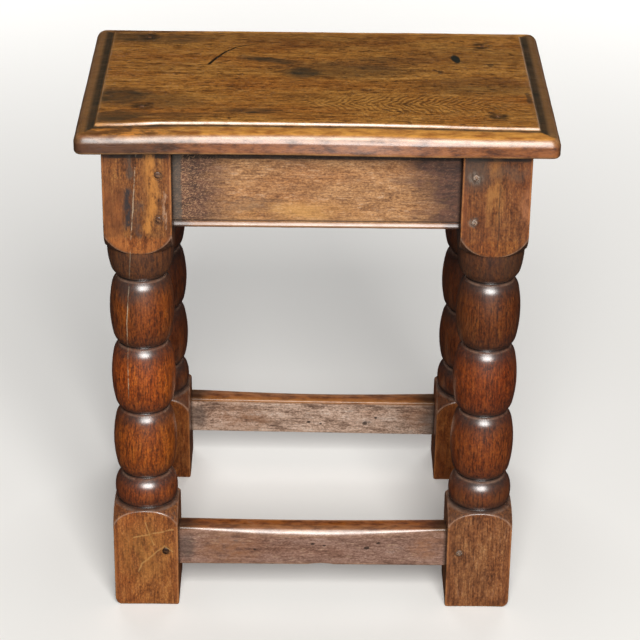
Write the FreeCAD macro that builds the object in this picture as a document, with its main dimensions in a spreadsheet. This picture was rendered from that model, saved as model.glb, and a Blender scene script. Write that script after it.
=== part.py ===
import FreeCAD, Part
import math
import os

# Joint stool in oak. Four raked legs, bobbin turned between square blocks, are framed by
# frieze rails and stretchers with pegged mortise and tenon joints, under a moulded top.
# Millimetres, +Z up, +X along the stool, front at -Y, origin on the floor below the centre.

SIZES = [
    # whole stool
    ("overall_height", 530.0),
    ("top_thickness", 23.0),
    ("end_overhang", 24.6),
    ("side_overhang", 14.6),
    ("leg_square", 66.8),
    ("leg_centres_length", 344.0),
    ("leg_centres_width", 183.0),
    ("rake_angle", 3.4),
    # thumb moulding round the top
    ("mould_width", 18.0),
    ("mould_step", 2.8),
    ("mould_fall", 1.4),
    ("nose_radius", 7.0),
    ("underside_arris", 1.6),
    ("corner_round", 4.0),
    # turning of the legs
    ("upper_block_margin", 3.0),
    ("upper_shoulder_height", 21.0),
    ("upper_shoulder_bulge", 2.1),
    ("cushion_height", 33.0),
    ("bobbin_radius", 32.4),
    ("bobbin_shoulder_radius", 15.0),
    ("neck_radius", 23.5),
    ("neck_width", 1.6),
    ("half_bobbin_height", 32.0),
    ("ring_rise", 12.5),
    ("ring_radius", 28.5),
    ("lower_shoulder_height", 19.5),
    ("lower_shoulder_bulge", 4.0),
    ("lower_block_margin", 6.6),
    ("foot_wear", 7.0),
    # rails
    ("rail_recess", 11.0),
    ("frieze_height", 86.6),
    ("frieze_thickness", 22.0),
    ("bead_height", 6.4),
    ("quirk_width", 2.0),
    ("stretcher_level", 41.4),
    ("stretcher_height", 44.0),
    ("stretcher_thickness", 20.7),
    ("stretcher_arris", 1.5),
    # mortise and tenon joints
    ("cheek_shoulder", 6.0),
    ("tenon_thickness", 9.5),
    ("tenon_edge_shoulder", 3.0),
    ("tenon_haunch", 16.0),
    ("tenon_wall", 4.3),
    ("fit_clearance", 0.1),
    ("mortise_end_gap", 2.0),
    # pegs
    ("peg_diameter", 8.5),
    ("peg_inset", 13.0),
    ("peg_proud", 0.8),
    ("peg_point_gap", 7.0),
    ("peg_taper", 0.5),
    ("upper_peg_drop", 28.0),
    ("lower_peg_rise", 12.6),
    ("top_peg_diameter", 9.5),
    ("top_peg_bite", 13.0),
    # excess of every cut past the wood it leaves
    ("overrun", 5.0),
]
BOBBIN_COUNT = 3
PEG_FACETS = 8
SIDES = {"left": -1, "right": 1}
ENDS = {"front": -1, "back": 1}
# how much flatter the belly of a bobbin is than one plain arc through its neck
BELLY_FLATNESS_SHARE = 1.66
# the tightest shoulder arc, against that plain arc
SHOULDER_LIMIT_SHARE = 0.9
# how far each top peg was bored off its leg's axis, against half the leg's square
TOP_PEG_SHARES = {
    "front_left": (0.1, 0.49),
    "front_right": (0.01, 0.02),
    "back_left": (-0.02, 0.39),
    "back_right": (-0.08, -0.08),
}

doc = FreeCAD.newDocument("joint_stool")
sheet = doc.addObject("Spreadsheet::Sheet", "Sizes")
for row, (alias, amount) in enumerate(SIZES, start=1):
    sheet.set(f"A{row}", alias)
    sheet.set(f"B{row}", str(amount))
    sheet.setAlias(f"B{row}", alias)
doc.recompute()


def size(alias):
    return float(sheet.get(alias))


vector = FreeCAD.Vector
half = size("leg_square") / 2
rake = math.radians(size("rake_angle"))
slope = math.tan(rake)
top_underside = size("overall_height") - size("top_thickness")
# a leg's length along its own axis, from the floor to the underside of the top
leg_length = top_underside / math.cos(rake)
foot_centres_width = size("leg_centres_width") + 2 * top_underside * slope
# depth from a leg's outer face to the near and the far cheek of every tenon
near_cheek = size("rail_recess") + size("cheek_shoulder")
far_cheek = near_cheek + size("tenon_thickness")
tenon_length = size("leg_square") - far_cheek - size("tenon_wall")
# a frame peg stops short of the one that crosses the leg beyond it
peg_reach = size("leg_square") - size("peg_inset") - size("peg_diameter") / 2 - size("peg_point_gap")
peg_length = size("peg_proud") + peg_reach
frieze_bottom = leg_length - size("frieze_height")
subparts = []


def turned_about_x(x, y, z, angle):
    return FreeCAD.Placement(vector(x, y, z), FreeCAD.Rotation(vector(1, 0, 0), math.degrees(angle)))


def leg_frame(side, end):
    # local +Z runs up the leg's axis, from where that axis meets the floor
    return turned_about_x(side * size("leg_centres_length") / 2, end * foot_centres_width / 2, 0, end * rake)


def long_rail_frame(end):
    # the plane of two legs, which leans with them
    return turned_about_x(0, end * foot_centres_width / 2, 0, end * rake)


def short_rail_frame(side):
    return turned_about_x(side * size("leg_centres_length") / 2, 0, 0, 0)


def new_body(name, placement):
    body = doc.addObject("PartDesign::Body", name)
    body.Label = name
    body.Placement = placement
    subparts.append(body)
    return body


def sketch_on(body, name, role, outlines):
    # each outline is a closed list of Part curves
    sketch = body.newObject("Sketcher::SketchObject", name)
    plane = [feature for feature in body.Origin.OriginFeatures if feature.Role == role][0]
    sketch.AttachmentSupport = [(plane, "")]
    sketch.MapMode = "FlatFace"
    for outline in outlines:
        for curve in outline:
            sketch.addGeometry(curve, False)
    return sketch


def polygon(points):
    corners = [vector(x, y, 0) for x, y in points]
    return [Part.LineSegment(a, b) for a, b in zip(corners, corners[1:] + corners[:1])]


def open_run(points):
    corners = [vector(x, y, 0) for x, y in points]
    return [Part.LineSegment(a, b) for a, b in zip(corners, corners[1:])]


def arc_through(start, middle, finish):
    return Part.Arc(vector(*start, 0), vector(*middle, 0), vector(*finish, 0))


def bulged_arc(start, finish, bulge):
    # an arc that stands out by bulge to the right of the line from start to finish
    run = finish[0] - start[0]
    rise = finish[1] - start[1]
    chord = math.hypot(run, rise)
    x = (start[0] + finish[0]) / 2 + rise / chord * bulge
    y = (start[1] + finish[1]) / 2 - run / chord * bulge
    return arc_through(start, (x, y), finish)


def pad(body, name, sketch, both_ways=True):
    feature = body.newObject("PartDesign::Pad", name)
    feature.Profile = sketch
    feature.SideType = "Symmetric" if both_ways else "One side"
    return feature


def pocket_through(body, name, sketch, length):
    feature = body.newObject("PartDesign::Pocket", name)
    feature.Profile = sketch
    feature.SideType = "Symmetric"
    feature.Length = length
    return feature


def box(body, kind, name, corner, length, width, height, frame=FreeCAD.Placement()):
    # corner is the low corner in frame, which is given in the body's own axes
    feature = body.newObject(f"PartDesign::{kind}Box", name)
    feature.Length = length
    feature.Width = width
    feature.Height = height
    feature.Placement = frame.multiply(FreeCAD.Placement(vector(*corner), FreeCAD.Rotation()))
    return feature


def peg_hole(body, name, world, radius_term, depth):
    feature = body.newObject("PartDesign::SubtractiveCylinder", name)
    feature.setExpression("Radius", radius_term)
    feature.Height = depth
    feature.Placement = body.Placement.inverse().multiply(world)
    return feature


def quarter_bobbin(belly, finish):
    # a flat belly arc that is upright at the belly, then a tighter shoulder arc down to the neck
    depth = belly[0] - finish[0]
    run = abs(finish[1] - belly[1])
    way = 1 if finish[1] > belly[1] else -1
    plain_radius = (run ** 2 + depth ** 2) / (2 * depth)
    side_radius = BELLY_FLATNESS_SHARE * plain_radius
    shoulder_radius = min(size("bobbin_shoulder_radius"), SHOULDER_LIMIT_SHARE * plain_radius)
    inner = side_radius - shoulder_radius
    reach = math.hypot(side_radius - depth, run)
    lean = math.acos((reach ** 2 + inner ** 2 - shoulder_radius ** 2) / (2 * reach * inner))
    join_angle = math.atan2(run, side_radius - depth) - lean
    centre = (belly[0] - side_radius, belly[1])
    shoulder_x = centre[0] + inner * math.cos(join_angle)
    shoulder_y = centre[1] + way * inner * math.sin(join_angle)
    shoulder_centre = (shoulder_x, shoulder_y)
    end_angle = math.atan2(abs(finish[1] - shoulder_centre[1]), finish[0] - shoulder_centre[0])

    def on_arc(middle, radius, angle):
        return (middle[0] + radius * math.cos(angle), middle[1] + way * radius * math.sin(angle))

    join = on_arc(centre, side_radius, join_angle)
    return [
        arc_through(belly, on_arc(centre, side_radius, join_angle / 2), join),
        arc_through(join, on_arc(shoulder_centre, shoulder_radius, (join_angle + end_angle) / 2), finish),
    ]


def turning_waste():
    # half section of what the turner cuts away, as radius and height along the leg
    corner_radius = half * math.sqrt(2)
    outside = corner_radius + size("overrun")
    belly = size("bobbin_radius")
    neck = size("neck_radius")
    flat = size("neck_width") / 2
    low_corner = size("stretcher_level") + size("stretcher_height") + size("lower_block_margin")
    ring = low_corner + size("lower_shoulder_height")
    low_neck = ring + size("half_bobbin_height")
    high_corner = frieze_bottom - size("upper_block_margin")
    cushion_top = high_corner - size("upper_shoulder_height")
    high_neck = cushion_top - size("cushion_height")
    pitch = (high_neck - low_neck) / BOBBIN_COUNT

    curves = open_run([(outside, low_corner), (corner_radius, low_corner)])
    ring_edge = (size("ring_radius"), ring)
    curves.append(bulged_arc(ring_edge, (corner_radius, low_corner), -size("lower_shoulder_bulge")))
    half_bobbin_belly = (belly, ring + size("ring_rise"))
    curves += quarter_bobbin(half_bobbin_belly, ring_edge)
    curves += quarter_bobbin(half_bobbin_belly, (neck, low_neck - flat))
    for index in range(BOBBIN_COUNT + 1):
        level = low_neck + index * pitch
        curves += open_run([(neck, level - flat), (neck, level + flat)])
    for index in range(BOBBIN_COUNT):
        middle = low_neck + (index + 0.5) * pitch
        curves += quarter_bobbin((belly, middle), (neck, middle - pitch / 2 + flat))
        curves += quarter_bobbin((belly, middle), (neck, middle + pitch / 2 - flat))
    curves += quarter_bobbin((half, cushion_top), (neck, high_neck + flat))
    curves.append(bulged_arc((half, cushion_top), (corner_radius, high_corner), size("upper_shoulder_bulge")))
    curves += open_run([(corner_radius, high_corner), (outside, high_corner), (outside, low_corner)])
    return curves


def edge_near(shape, x, z_limit):
    # the foot's edge that runs along Y at x, as a sub-element name
    for number, edge in enumerate(shape.Edges, start=1):
        ends = [vertex.Point for vertex in edge.Vertexes]
        beside = all(abs(point.x - x) < size("fit_clearance") for point in ends)
        low = all(abs(point.z) <= z_limit for point in ends)
        if beside and low:
            return f"Edge{number}"
    raise RuntimeError("foot edge not found")


def level_on_short_rail(end, height):
    # y of the leg's inner face at a height, where the short rail's shoulder stands
    centre = size("leg_centres_width") / 2 + (top_underside - height) * slope
    return end * (centre - half / math.cos(rake))


def rail_levels(kind):
    # low and high edge of the rail, low and high edge of its tenon, levels of its pegs
    edge = size("tenon_edge_shoulder")
    if kind == "frieze":
        pegs = {"upper": leg_length - size("upper_peg_drop"), "lower": frieze_bottom + size("lower_peg_rise")}
        return frieze_bottom, leg_length, frieze_bottom + edge, leg_length - size("tenon_haunch"), pegs
    low = size("stretcher_level")
    high = low + size("stretcher_height")
    return low, high, low + edge, high - edge, {"": (low + high) / 2}


def long_peg_frame(side, end, level):
    # from outside the front or back face of a leg, straight in through the tenon
    start = FreeCAD.Placement(
        vector(-side * (half - size("peg_inset")), end * (half + size("peg_proud")), level),
        FreeCAD.Rotation(vector(0, 0, 1), vector(0, -end, 0)),
    )
    return leg_frame(side, end).multiply(start)


def short_peg_frame(side, end, level):
    start = FreeCAD.Placement(
        vector(side * (half + size("peg_proud")), -end * (half - size("peg_inset")), level),
        FreeCAD.Rotation(vector(0, 0, 1), vector(-side, 0, 0)),
    )
    return leg_frame(side, end).multiply(start)


def top_peg_frame(side_name, end_name):
    share_x, share_y = TOP_PEG_SHARES[f"{end_name}_{side_name}"]
    x = SIDES[side_name] * size("leg_centres_length") / 2 + share_x * half
    y = ENDS[end_name] * size("leg_centres_width") / 2 + share_y * half
    return FreeCAD.Placement(
        vector(x, y, size("overall_height")), FreeCAD.Rotation(vector(0, 0, 1), vector(0, 0, -1))
    )


def side_pegs(frame_of, side, end):
    for kind in ("frieze", "stretcher"):
        for level_name, level in rail_levels(kind)[4].items():
            yield kind, level_name, frame_of(side, end, level)


def tongue(kind, grow=0.0, deeper=0.0, along_x=True, end_or_side=1):
    # the strip that runs through a rail and comes out at both ends as its tenons
    low, high, tenon_low, tenon_high, pegs = rail_levels(kind)
    outer = end_or_side * (half - near_cheek)
    inner = end_or_side * (half - far_cheek)
    across = min(outer, inner) - grow
    if along_x:
        reach = size("leg_centres_length") / 2 - half + tenon_length + deeper
        corner = (-reach, across, tenon_low - grow)
        spans = (2 * reach, size("tenon_thickness") + 2 * grow)
    else:
        reach = level_on_short_rail(1, (tenon_low + tenon_high) / 2) + tenon_length + deeper
        corner = (across, -reach, tenon_low - grow)
        spans = (size("tenon_thickness") + 2 * grow, 2 * reach)
    return corner, spans[0], spans[1], tenon_high - tenon_low + 2 * grow


def make_leg(side_name, end_name):
    side = SIDES[side_name]
    end = ENDS[end_name]
    name = f"leg_{end_name}_{side_name}"
    body = new_body(name, leg_frame(side, end))
    tilt = end * slope
    billet = polygon([
        (-half, half * tilt),
        (half, -half * tilt),
        (half, leg_length - half * tilt),
        (-half, leg_length + half * tilt),
    ])
    blank = pad(body, f"{name}_blank", sketch_on(body, f"{name}_blank_side", "YZ_Plane", [billet]))
    blank.setExpression("Length", "Sizes.leg_square")
    doc.recompute()
    wear = body.newObject("PartDesign::Fillet", f"{name}_foot_wear")
    wear.Base = (blank, [edge_near(blank.Shape, side * half, 2 * half * slope)])
    wear.setExpression("Radius", "Sizes.foot_wear")
    turning = body.newObject("PartDesign::Groove", f"{name}_turning")
    turning.Profile = sketch_on(body, f"{name}_turning_waste", "XZ_Plane", [turning_waste()])
    turning.ReferenceAxis = (turning.Profile[0], ["V_Axis"])
    turning.Angle = 360
    fit = size("fit_clearance")
    to_leg = body.Placement.inverse()
    for kind in ("frieze", "stretcher"):
        corner, length, width, height = tongue(kind, fit, size("mortise_end_gap"), True, end)
        frame = to_leg.multiply(long_rail_frame(end))
        start = (0 if side > 0 else corner[0], corner[1], corner[2])
        box(body, "Subtractive", f"{name}_{kind}_long_mortise", start, length / 2, width, height, frame)
        corner, length, width, height = tongue(kind, fit, size("mortise_end_gap"), False, side)
        frame = to_leg.multiply(short_rail_frame(side))
        start = (corner[0], 0 if end > 0 else corner[1], corner[2])
        box(body, "Subtractive", f"{name}_{kind}_short_mortise", start, length, width / 2, height, frame)
    for frame_of, run in ((long_peg_frame, "long"), (short_peg_frame, "short")):
        for kind, level_name, world in side_pegs(frame_of, side, end):
            label = f"{name}_{kind}_{run}_{level_name}_hole"
            peg_hole(body, label, world, "Sizes.peg_diameter / 2", peg_length + size("mortise_end_gap"))
    depth = size("top_thickness") + size("top_peg_bite") + size("mortise_end_gap")
    world = top_peg_frame(side_name, end_name)
    peg_hole(body, f"{name}_top_hole", world, "Sizes.top_peg_diameter / 2", depth)


def rail_outline(kind, low, high_outer, high_inner, outward):
    # section across a rail, from depth behind its outer face and height, to sketch axes
    def at(depth, level):
        return (outward * (half - size("rail_recess") - depth), level)

    if kind == "frieze":
        thick = size("frieze_thickness")
        bead = size("bead_height")
        curves = [arc_through(at(bead / 2, low), at(0, low + bead / 2), at(bead / 2, low + bead))]
        return curves + open_run([
            at(bead / 2, low + bead),
            at(0, low + bead + size("quirk_width")),
            at(0, high_outer),
            at(thick, high_inner),
            at(thick, low),
            at(bead / 2, low),
        ])
    thick = size("stretcher_thickness")
    arris = size("stretcher_arris")
    return polygon([
        at(0, low),
        at(0, high_outer - arris),
        at(arris, high_outer),
        at(thick - arris, high_inner),
        at(thick, high_inner - arris),
        at(thick, low),
    ])


def make_long_rail(name, kind, end):
    body = new_body(name, long_rail_frame(end))
    low, high, tenon_low, tenon_high, pegs = rail_levels(kind)
    fall = slope if kind == "frieze" else 0
    outer_y = half - size("rail_recess")
    inner_y = outer_y - size("frieze_thickness")
    outline = rail_outline(kind, low, high - outer_y * fall, high - inner_y * fall, end)
    stick = pad(body, f"{name}_stick", sketch_on(body, f"{name}_section", "YZ_Plane", [outline]))
    stick.setExpression("Length", "Sizes.leg_centres_length - Sizes.leg_square")
    corner, length, width, height = tongue(kind, end_or_side=end)
    box(body, "Additive", f"{name}_tenons", corner, length, width, height)
    for side_name, side in SIDES.items():
        for peg_kind, level_name, world in side_pegs(long_peg_frame, side, end):
            if peg_kind == kind:
                label = f"{name}_{side_name}_{level_name}_hole"
                peg_hole(body, label, world, "Sizes.peg_diameter / 2", peg_length + size("mortise_end_gap"))


def make_short_rail(name, kind, side):
    body = new_body(name, short_rail_frame(side))
    low, high, tenon_low, tenon_high, pegs = rail_levels(kind)
    if kind == "frieze":
        high = top_underside
    outline = rail_outline(kind, low, high, high, side)
    stick = pad(body, f"{name}_stick", sketch_on(body, f"{name}_section", "XZ_Plane", [outline]))
    widest = level_on_short_rail(1, low) + size("overrun")
    stick.Length = 2 * widest
    # the raked shoulders, sawn to the legs' inner faces
    for end_name, end in ENDS.items():
        frame = body.Placement.inverse().multiply(leg_frame(side, end))
        inner_face = -end * half
        past_leg = end * size("leg_square")
        corner = (-size("leg_square"), min(inner_face, past_leg), -size("overrun"))
        spans = (2 * size("leg_square"), abs(past_leg - inner_face), leg_length + 2 * size("overrun"))
        box(body, "Subtractive", f"{name}_{end_name}_shoulder", corner, *spans, frame)
    corner, length, width, height = tongue(kind, along_x=False, end_or_side=side)
    box(body, "Additive", f"{name}_tenons", corner, length, width, height)
    for end_name, end in ENDS.items():
        for peg_kind, level_name, world in side_pegs(short_peg_frame, side, end):
            if peg_kind == kind:
                label = f"{name}_{end_name}_{level_name}_hole"
                peg_hole(body, label, world, "Sizes.peg_diameter / 2", peg_length + size("mortise_end_gap"))


def mould_waste(reach):
    # both edges of the board at once: the thumb above and the eased arris below
    over = size("overrun")
    high = size("overall_height")
    low = top_underside
    nose = size("nose_radius")
    arris = size("underside_arris")
    shelf = high - size("mould_step")
    brow = shelf - size("mould_fall")
    outlines = []
    for way in (-1, 1):
        round_start = (way * (reach - nose), brow)
        round_middle = (way * (reach - nose + nose * math.sqrt(0.5)), brow - nose + nose * math.sqrt(0.5))
        round_finish = (way * reach, brow - nose)
        thumb = open_run([
            (way * reach, brow - nose),
            (way * (reach + over), brow - nose),
            (way * (reach + over), high + over),
            (way * (reach - size("mould_width")), high + over),
            (way * (reach - size("mould_width")), shelf),
            round_start,
        ])
        outlines.append(thumb + [arc_through(round_start, round_middle, round_finish)])
        outlines.append(polygon([
            (way * reach, low + arris),
            (way * (reach + over), low + arris),
            (way * (reach + over), low - over),
            (way * (reach - arris), low - over),
            (way * (reach - arris), low),
        ]))
    return outlines


def make_top():
    body = new_body("top_board", FreeCAD.Placement())
    # half the board's length and width
    length = (size("leg_centres_length") + size("leg_square")) / 2 + size("end_overhang")
    width = (size("leg_centres_width") + size("leg_square")) / 2 + size("side_overhang")
    corner = size("corner_round")
    bevel = corner * (1 - math.sqrt(0.5))
    outline = []
    # the four sides, with each corner rounded in plan
    for x_way, y_way in ((1, 1), (-1, 1), (-1, -1), (1, -1)):
        along = (x_way * (length - corner), y_way * width)
        across = (x_way * length, y_way * (width - corner))
        outline.append(arc_through(along, (x_way * (length - bevel), y_way * (width - bevel)), across))
    for way in (-1, 1):
        outline += open_run([(-length + corner, way * width), (length - corner, way * width)])
        outline += open_run([(way * length, -width + corner), (way * length, width - corner)])
    plan = sketch_on(body, "top_plan", "XY_Plane", [outline])
    plan.AttachmentOffset = FreeCAD.Placement(vector(0, 0, top_underside), FreeCAD.Rotation())
    board = pad(body, "top_blank", plan, both_ways=False)
    board.setExpression("Length", "Sizes.top_thickness")
    ends = sketch_on(body, "end_mould_waste", "XZ_Plane", mould_waste(length))
    pocket_through(body, "end_mould", ends, 2 * (width + size("overrun")))
    edges = sketch_on(body, "edge_mould_waste", "YZ_Plane", mould_waste(width))
    pocket_through(body, "edge_mould", edges, 2 * (length + size("overrun")))
    depth = size("top_thickness") + size("overrun")
    for side_name in SIDES:
        for end_name in ENDS:
            label = f"top_{end_name}_{side_name}_hole"
            world = top_peg_frame(side_name, end_name)
            peg_hole(body, label, world, "Sizes.top_peg_diameter / 2", depth)


def make_peg(name, world, diameter, length):
    # a riven peg, shaved to eight sides and thinner at its point
    body = new_body(name, world)
    radius = diameter / 2 - size("fit_clearance")
    turns = [2 * math.pi * (index + 0.5) / PEG_FACETS for index in range(PEG_FACETS)]
    facets = polygon([(radius * math.cos(turn), radius * math.sin(turn)) for turn in turns])
    stick = pad(body, f"{name}_stick", sketch_on(body, f"{name}_head", "XY_Plane", [facets]), both_ways=False)
    stick.Length = length
    stick.TaperAngle = -math.degrees(math.atan2(size("peg_taper"), length))


make_top()
for end_name in ENDS:
    for side_name in SIDES:
        make_leg(side_name, end_name)
for kind in ("frieze", "stretcher"):
    for end_name, end in ENDS.items():
        make_long_rail(f"{kind}_{end_name}", kind, end)
    for side_name, side in SIDES.items():
        make_short_rail(f"{kind}_{side_name}", kind, side)
for end_name, end in ENDS.items():
    for side_name, side in SIDES.items():
        corner_name = f"{end_name}_{side_name}"
        for kind, level_name, world in side_pegs(long_peg_frame, side, end):
            level_part = f"_{level_name}" if level_name else ""
            make_peg(f"{kind}_peg_{corner_name}_face{level_part}", world, size("peg_diameter"), peg_length)
        for kind, level_name, world in side_pegs(short_peg_frame, side, end):
            level_part = f"_{level_name}" if level_name else ""
            make_peg(f"{kind}_peg_{corner_name}_end{level_part}", world, size("peg_diameter"), peg_length)
        top_peg_length = size("top_thickness") + size("top_peg_bite")
        world = top_peg_frame(side_name, end_name)
        make_peg(f"top_peg_{corner_name}", world, size("top_peg_diameter"), top_peg_length)
doc.recompute()

for item in doc.Objects:
    if "Invalid" in item.State or "Error" in item.State:
        raise RuntimeError(f"{item.Label} failed: {item.State}")
for body in subparts:
    if body.Shape.isNull() or not body.Shape.isValid() or len(body.Shape.Solids) != 1:
        raise RuntimeError(f"{body.Label} is not one sound solid")
    steps = [feature for feature in body.Group if feature.isDerivedFrom("PartDesign::Feature")]
    for before, after in zip(steps, steps[1:]):
        if abs(after.Shape.Volume - before.Shape.Volume) < size("fit_clearance") ** 3:
            raise RuntimeError(f"{after.Label} changed nothing")

os.makedirs("parts", exist_ok=True)
for body in subparts:
    body.Shape.exportStep(os.path.join("parts", f"{body.Label}.step"))
print(f"{len(subparts)} pieces, leg length {leg_length:.1f} mm, tenon length {tenon_length:.1f} mm")
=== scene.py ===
import math
import bmesh
import bpy
import numpy as np
from mathutils import Matrix, Vector, noise as fieldNoise


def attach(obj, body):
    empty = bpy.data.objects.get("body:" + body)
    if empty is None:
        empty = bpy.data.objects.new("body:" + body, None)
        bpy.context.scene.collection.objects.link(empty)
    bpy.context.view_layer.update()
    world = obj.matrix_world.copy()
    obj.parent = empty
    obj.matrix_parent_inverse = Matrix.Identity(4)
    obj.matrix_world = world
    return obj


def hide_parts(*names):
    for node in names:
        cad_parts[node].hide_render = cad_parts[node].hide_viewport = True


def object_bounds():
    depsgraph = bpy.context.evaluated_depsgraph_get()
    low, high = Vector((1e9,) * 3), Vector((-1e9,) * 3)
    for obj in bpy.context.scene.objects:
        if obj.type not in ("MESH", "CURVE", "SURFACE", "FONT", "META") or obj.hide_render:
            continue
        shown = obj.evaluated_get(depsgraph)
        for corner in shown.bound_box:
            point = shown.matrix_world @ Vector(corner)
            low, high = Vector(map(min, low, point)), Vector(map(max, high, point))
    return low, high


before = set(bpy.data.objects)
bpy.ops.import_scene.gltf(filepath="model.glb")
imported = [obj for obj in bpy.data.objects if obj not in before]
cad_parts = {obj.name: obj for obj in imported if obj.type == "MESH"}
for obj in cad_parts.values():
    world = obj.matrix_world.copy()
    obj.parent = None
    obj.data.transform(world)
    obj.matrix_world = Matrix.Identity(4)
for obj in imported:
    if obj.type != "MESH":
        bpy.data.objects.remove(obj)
cadBox = [list(corner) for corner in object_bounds()]
print("frame loaded,", len(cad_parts), "nodes")

# sizes shared by the pieces, in metres, as in the construction
stool = {
    "height": 0.530,
    "topThick": 0.023,
    "topLength": 0.460,
    "topWidth": 0.279,
    "legSquare": 0.0668,
    "legCentresX": 0.344,
    "legCentresY": 0.183,
    "rake": math.radians(3.4),
    "railRecess": 0.011,
    "friezeHeight": 0.0866,
    "stretcherLevel": 0.0414,
    "stretcherHeight": 0.044,
}
half = stool["legSquare"] / 2
slope = math.tan(stool["rake"])
underside = stool["height"] - stool["topThick"]
legLength = underside / math.cos(stool["rake"])
footCentresY = stool["legCentresY"] + 2 * underside * slope
friezeBottom = legLength - stool["friezeHeight"]
sides = {"left": -1, "right": 1}
ends = {"front": -1, "back": 1}
tiny = 0.00001


class Wire:
    # one socket of a shader or geometry tree, so that sums can be written as Python
    def __init__(self, tree, socket=None):
        self.tree = tree
        self.socket = socket

    def node(self, kind, settings=None, sockets=None, out=0):
        made = self.tree.nodes.new(kind)
        for name, value in (settings or {}).items():
            if name == "stops":
                ramp = made.color_ramp
                ramp.elements[0].position, ramp.elements[0].color = value[0][0], (*value[0][1], 1)
                ramp.elements[1].position, ramp.elements[1].color = value[-1][0], (*value[-1][1], 1)
                for place, colour in value[1:-1]:
                    ramp.elements.new(place).color = (*colour, 1)
            else:
                setattr(made, name, value)
        for name, value in (sockets or {}).items():
            if isinstance(value, Wire):
                self.tree.links.new(value.socket, made.inputs[name])
            else:
                made.inputs[name].default_value = value
        return Wire(self.tree, made.outputs[out]) if made.outputs else None

    def math(self, operation, *others):
        return self.node("ShaderNodeMath", {"operation": operation}, dict(enumerate((self, *others))))

    def __add__(self, other):
        return self.math("ADD", other)

    def __sub__(self, other):
        return self.math("SUBTRACT", other)

    def __rsub__(self, other):
        return self.node("ShaderNodeMath", {"operation": "SUBTRACT"}, {0: other, 1: self})

    def __mul__(self, other):
        return self.math("MULTIPLY", other)

    def __truediv__(self, other):
        return self.math("DIVIDE", other)

    def __rtruediv__(self, other):
        return self.node("ShaderNodeMath", {"operation": "DIVIDE"}, {0: other, 1: self})

    def __pow__(self, other):
        return self.math("POWER", other)

    __radd__ = __add__


def held(wire, low=0.0, high=1.0):
    return wire.node("ShaderNodeClamp", None, {"Value": wire, "Min": low, "Max": high})


def above(wire, start, gain):
    # climbs from 0 to 1 once a value has passed its start
    return held((wire - start) * gain)


def sway(wire, reach):
    # moves a mark about by a noise whose middle is a half
    return (wire - 0.5) * reach


def apart(wire):
    return wire.math("ABSOLUTE")


def most(wire, *others):
    for other in others:
        wire = wire.math("MAXIMUM", other)
    return wire


def distance(x, y):
    return (x * x + y * y).math("SQRT")


def parts(wire):
    split = wire.node("ShaderNodeSeparateXYZ", None, {0: wire})
    return [Wire(wire.tree, split.socket.node.outputs[axis]) for axis in range(3)]


def firstWire(*values):
    return next(value for value in values if isinstance(value, Wire))


def joined(x, y, z):
    return firstWire(x, y, z).node("ShaderNodeCombineXYZ", None, {0: x, 1: y, 2: z})


def stretched(place, x, y, z):
    return place.node("ShaderNodeVectorMath", {"operation": "MULTIPLY"}, {0: place, 1: (x, y, z)})


def speckle(place, scale=1.0, detail=3.0, rough=0.55, out=0):
    return place.node("ShaderNodeTexNoise", None, {
        "Vector": place, "Scale": scale, "Detail": detail, "Roughness": rough}, out)


def tinted(amount, under, over, way="MIX"):
    # a bare colour is a tuple of three
    pen = firstWire(amount, under, over)
    under, over = ((*tone, 1) if isinstance(tone, tuple) else tone for tone in (under, over))
    settings = {"data_type": "RGBA", "blend_type": way}
    return pen.node("ShaderNodeMix", settings, {0: amount, 6: under, 7: over}, 2)


def attribute(pen, name, out="Fac"):
    return pen.node("ShaderNodeAttribute", {"attribute_name": name}, out=out)


# meshes from rules

def newTree(name, inputs):
    tree = bpy.data.node_groups.new(name, "GeometryNodeTree")
    tree.interface.new_socket("Geometry", in_out="OUTPUT", socket_type="NodeSocketGeometry")
    tree.interface.new_socket("Geometry", in_out="INPUT", socket_type="NodeSocketGeometry")
    for label, kind in inputs.items():
        tree.interface.new_socket(label, in_out="INPUT", socket_type="NodeSocket" + kind)
    entry = tree.nodes.new("NodeGroupInput")
    return Wire(tree), {socket.name: Wire(tree, socket) for socket in entry.outputs if socket.name}


def closeTree(geometry, material):
    realised = geometry.node("GeometryNodeRealizeInstances", None, {"Geometry": geometry})
    smooth = realised.node("GeometryNodeSetShadeSmooth", None, {"Geometry": realised})
    last = smooth.node("GeometryNodeSetMaterial", None, {"Geometry": smooth, "Material": material})
    leave = last.tree.nodes.new("NodeGroupOutput")
    last.tree.links.new(last.socket, leave.inputs[0])


def kindOf(value):
    return "FLOAT_VECTOR" if isinstance(value, Wire) and value.socket.type == "VECTOR" else "FLOAT"


def stored(geometry, name, value):
    settings = {"data_type": kindOf(value), "domain": "POINT"}
    return geometry.node("GeometryNodeStoreNamedAttribute", settings, {
        "Geometry": geometry, "Name": name, "Value": value})


def rowValue(geometry, row, value):
    settings = {"data_type": kindOf(value), "domain": "POINT", "clamp": True}
    return geometry.node("GeometryNodeSampleIndex", settings, {
        "Geometry": geometry, "Value": value, "Index": row})


def named(pen, name, kind="FLOAT"):
    return pen.node("GeometryNodeInputNamedAttribute", {"data_type": kind}, {"Name": name})


def flatSheet(pen, given):
    # a row of points for each point of the source; gives the sheet, its columns, rows and source points
    grid = pen.node("GeometryNodeMeshGrid", None, {
        "Size X": given["Columns"] - 1, "Size Y": given["Rows"] - 1,
        "Vertices X": given["Columns"], "Vertices Y": given["Rows"]})
    across, up = parts(pen.node("GeometryNodeInputPosition"))[:2]
    column = (across + (given["Columns"] - 1) / 2).math("ROUND")
    row = (up + (given["Rows"] - 1) / 2).math("ROUND")
    return grid, column, row, parts(rowValue(given["Geometry"], row, pen.node("GeometryNodeInputPosition")))


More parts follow.
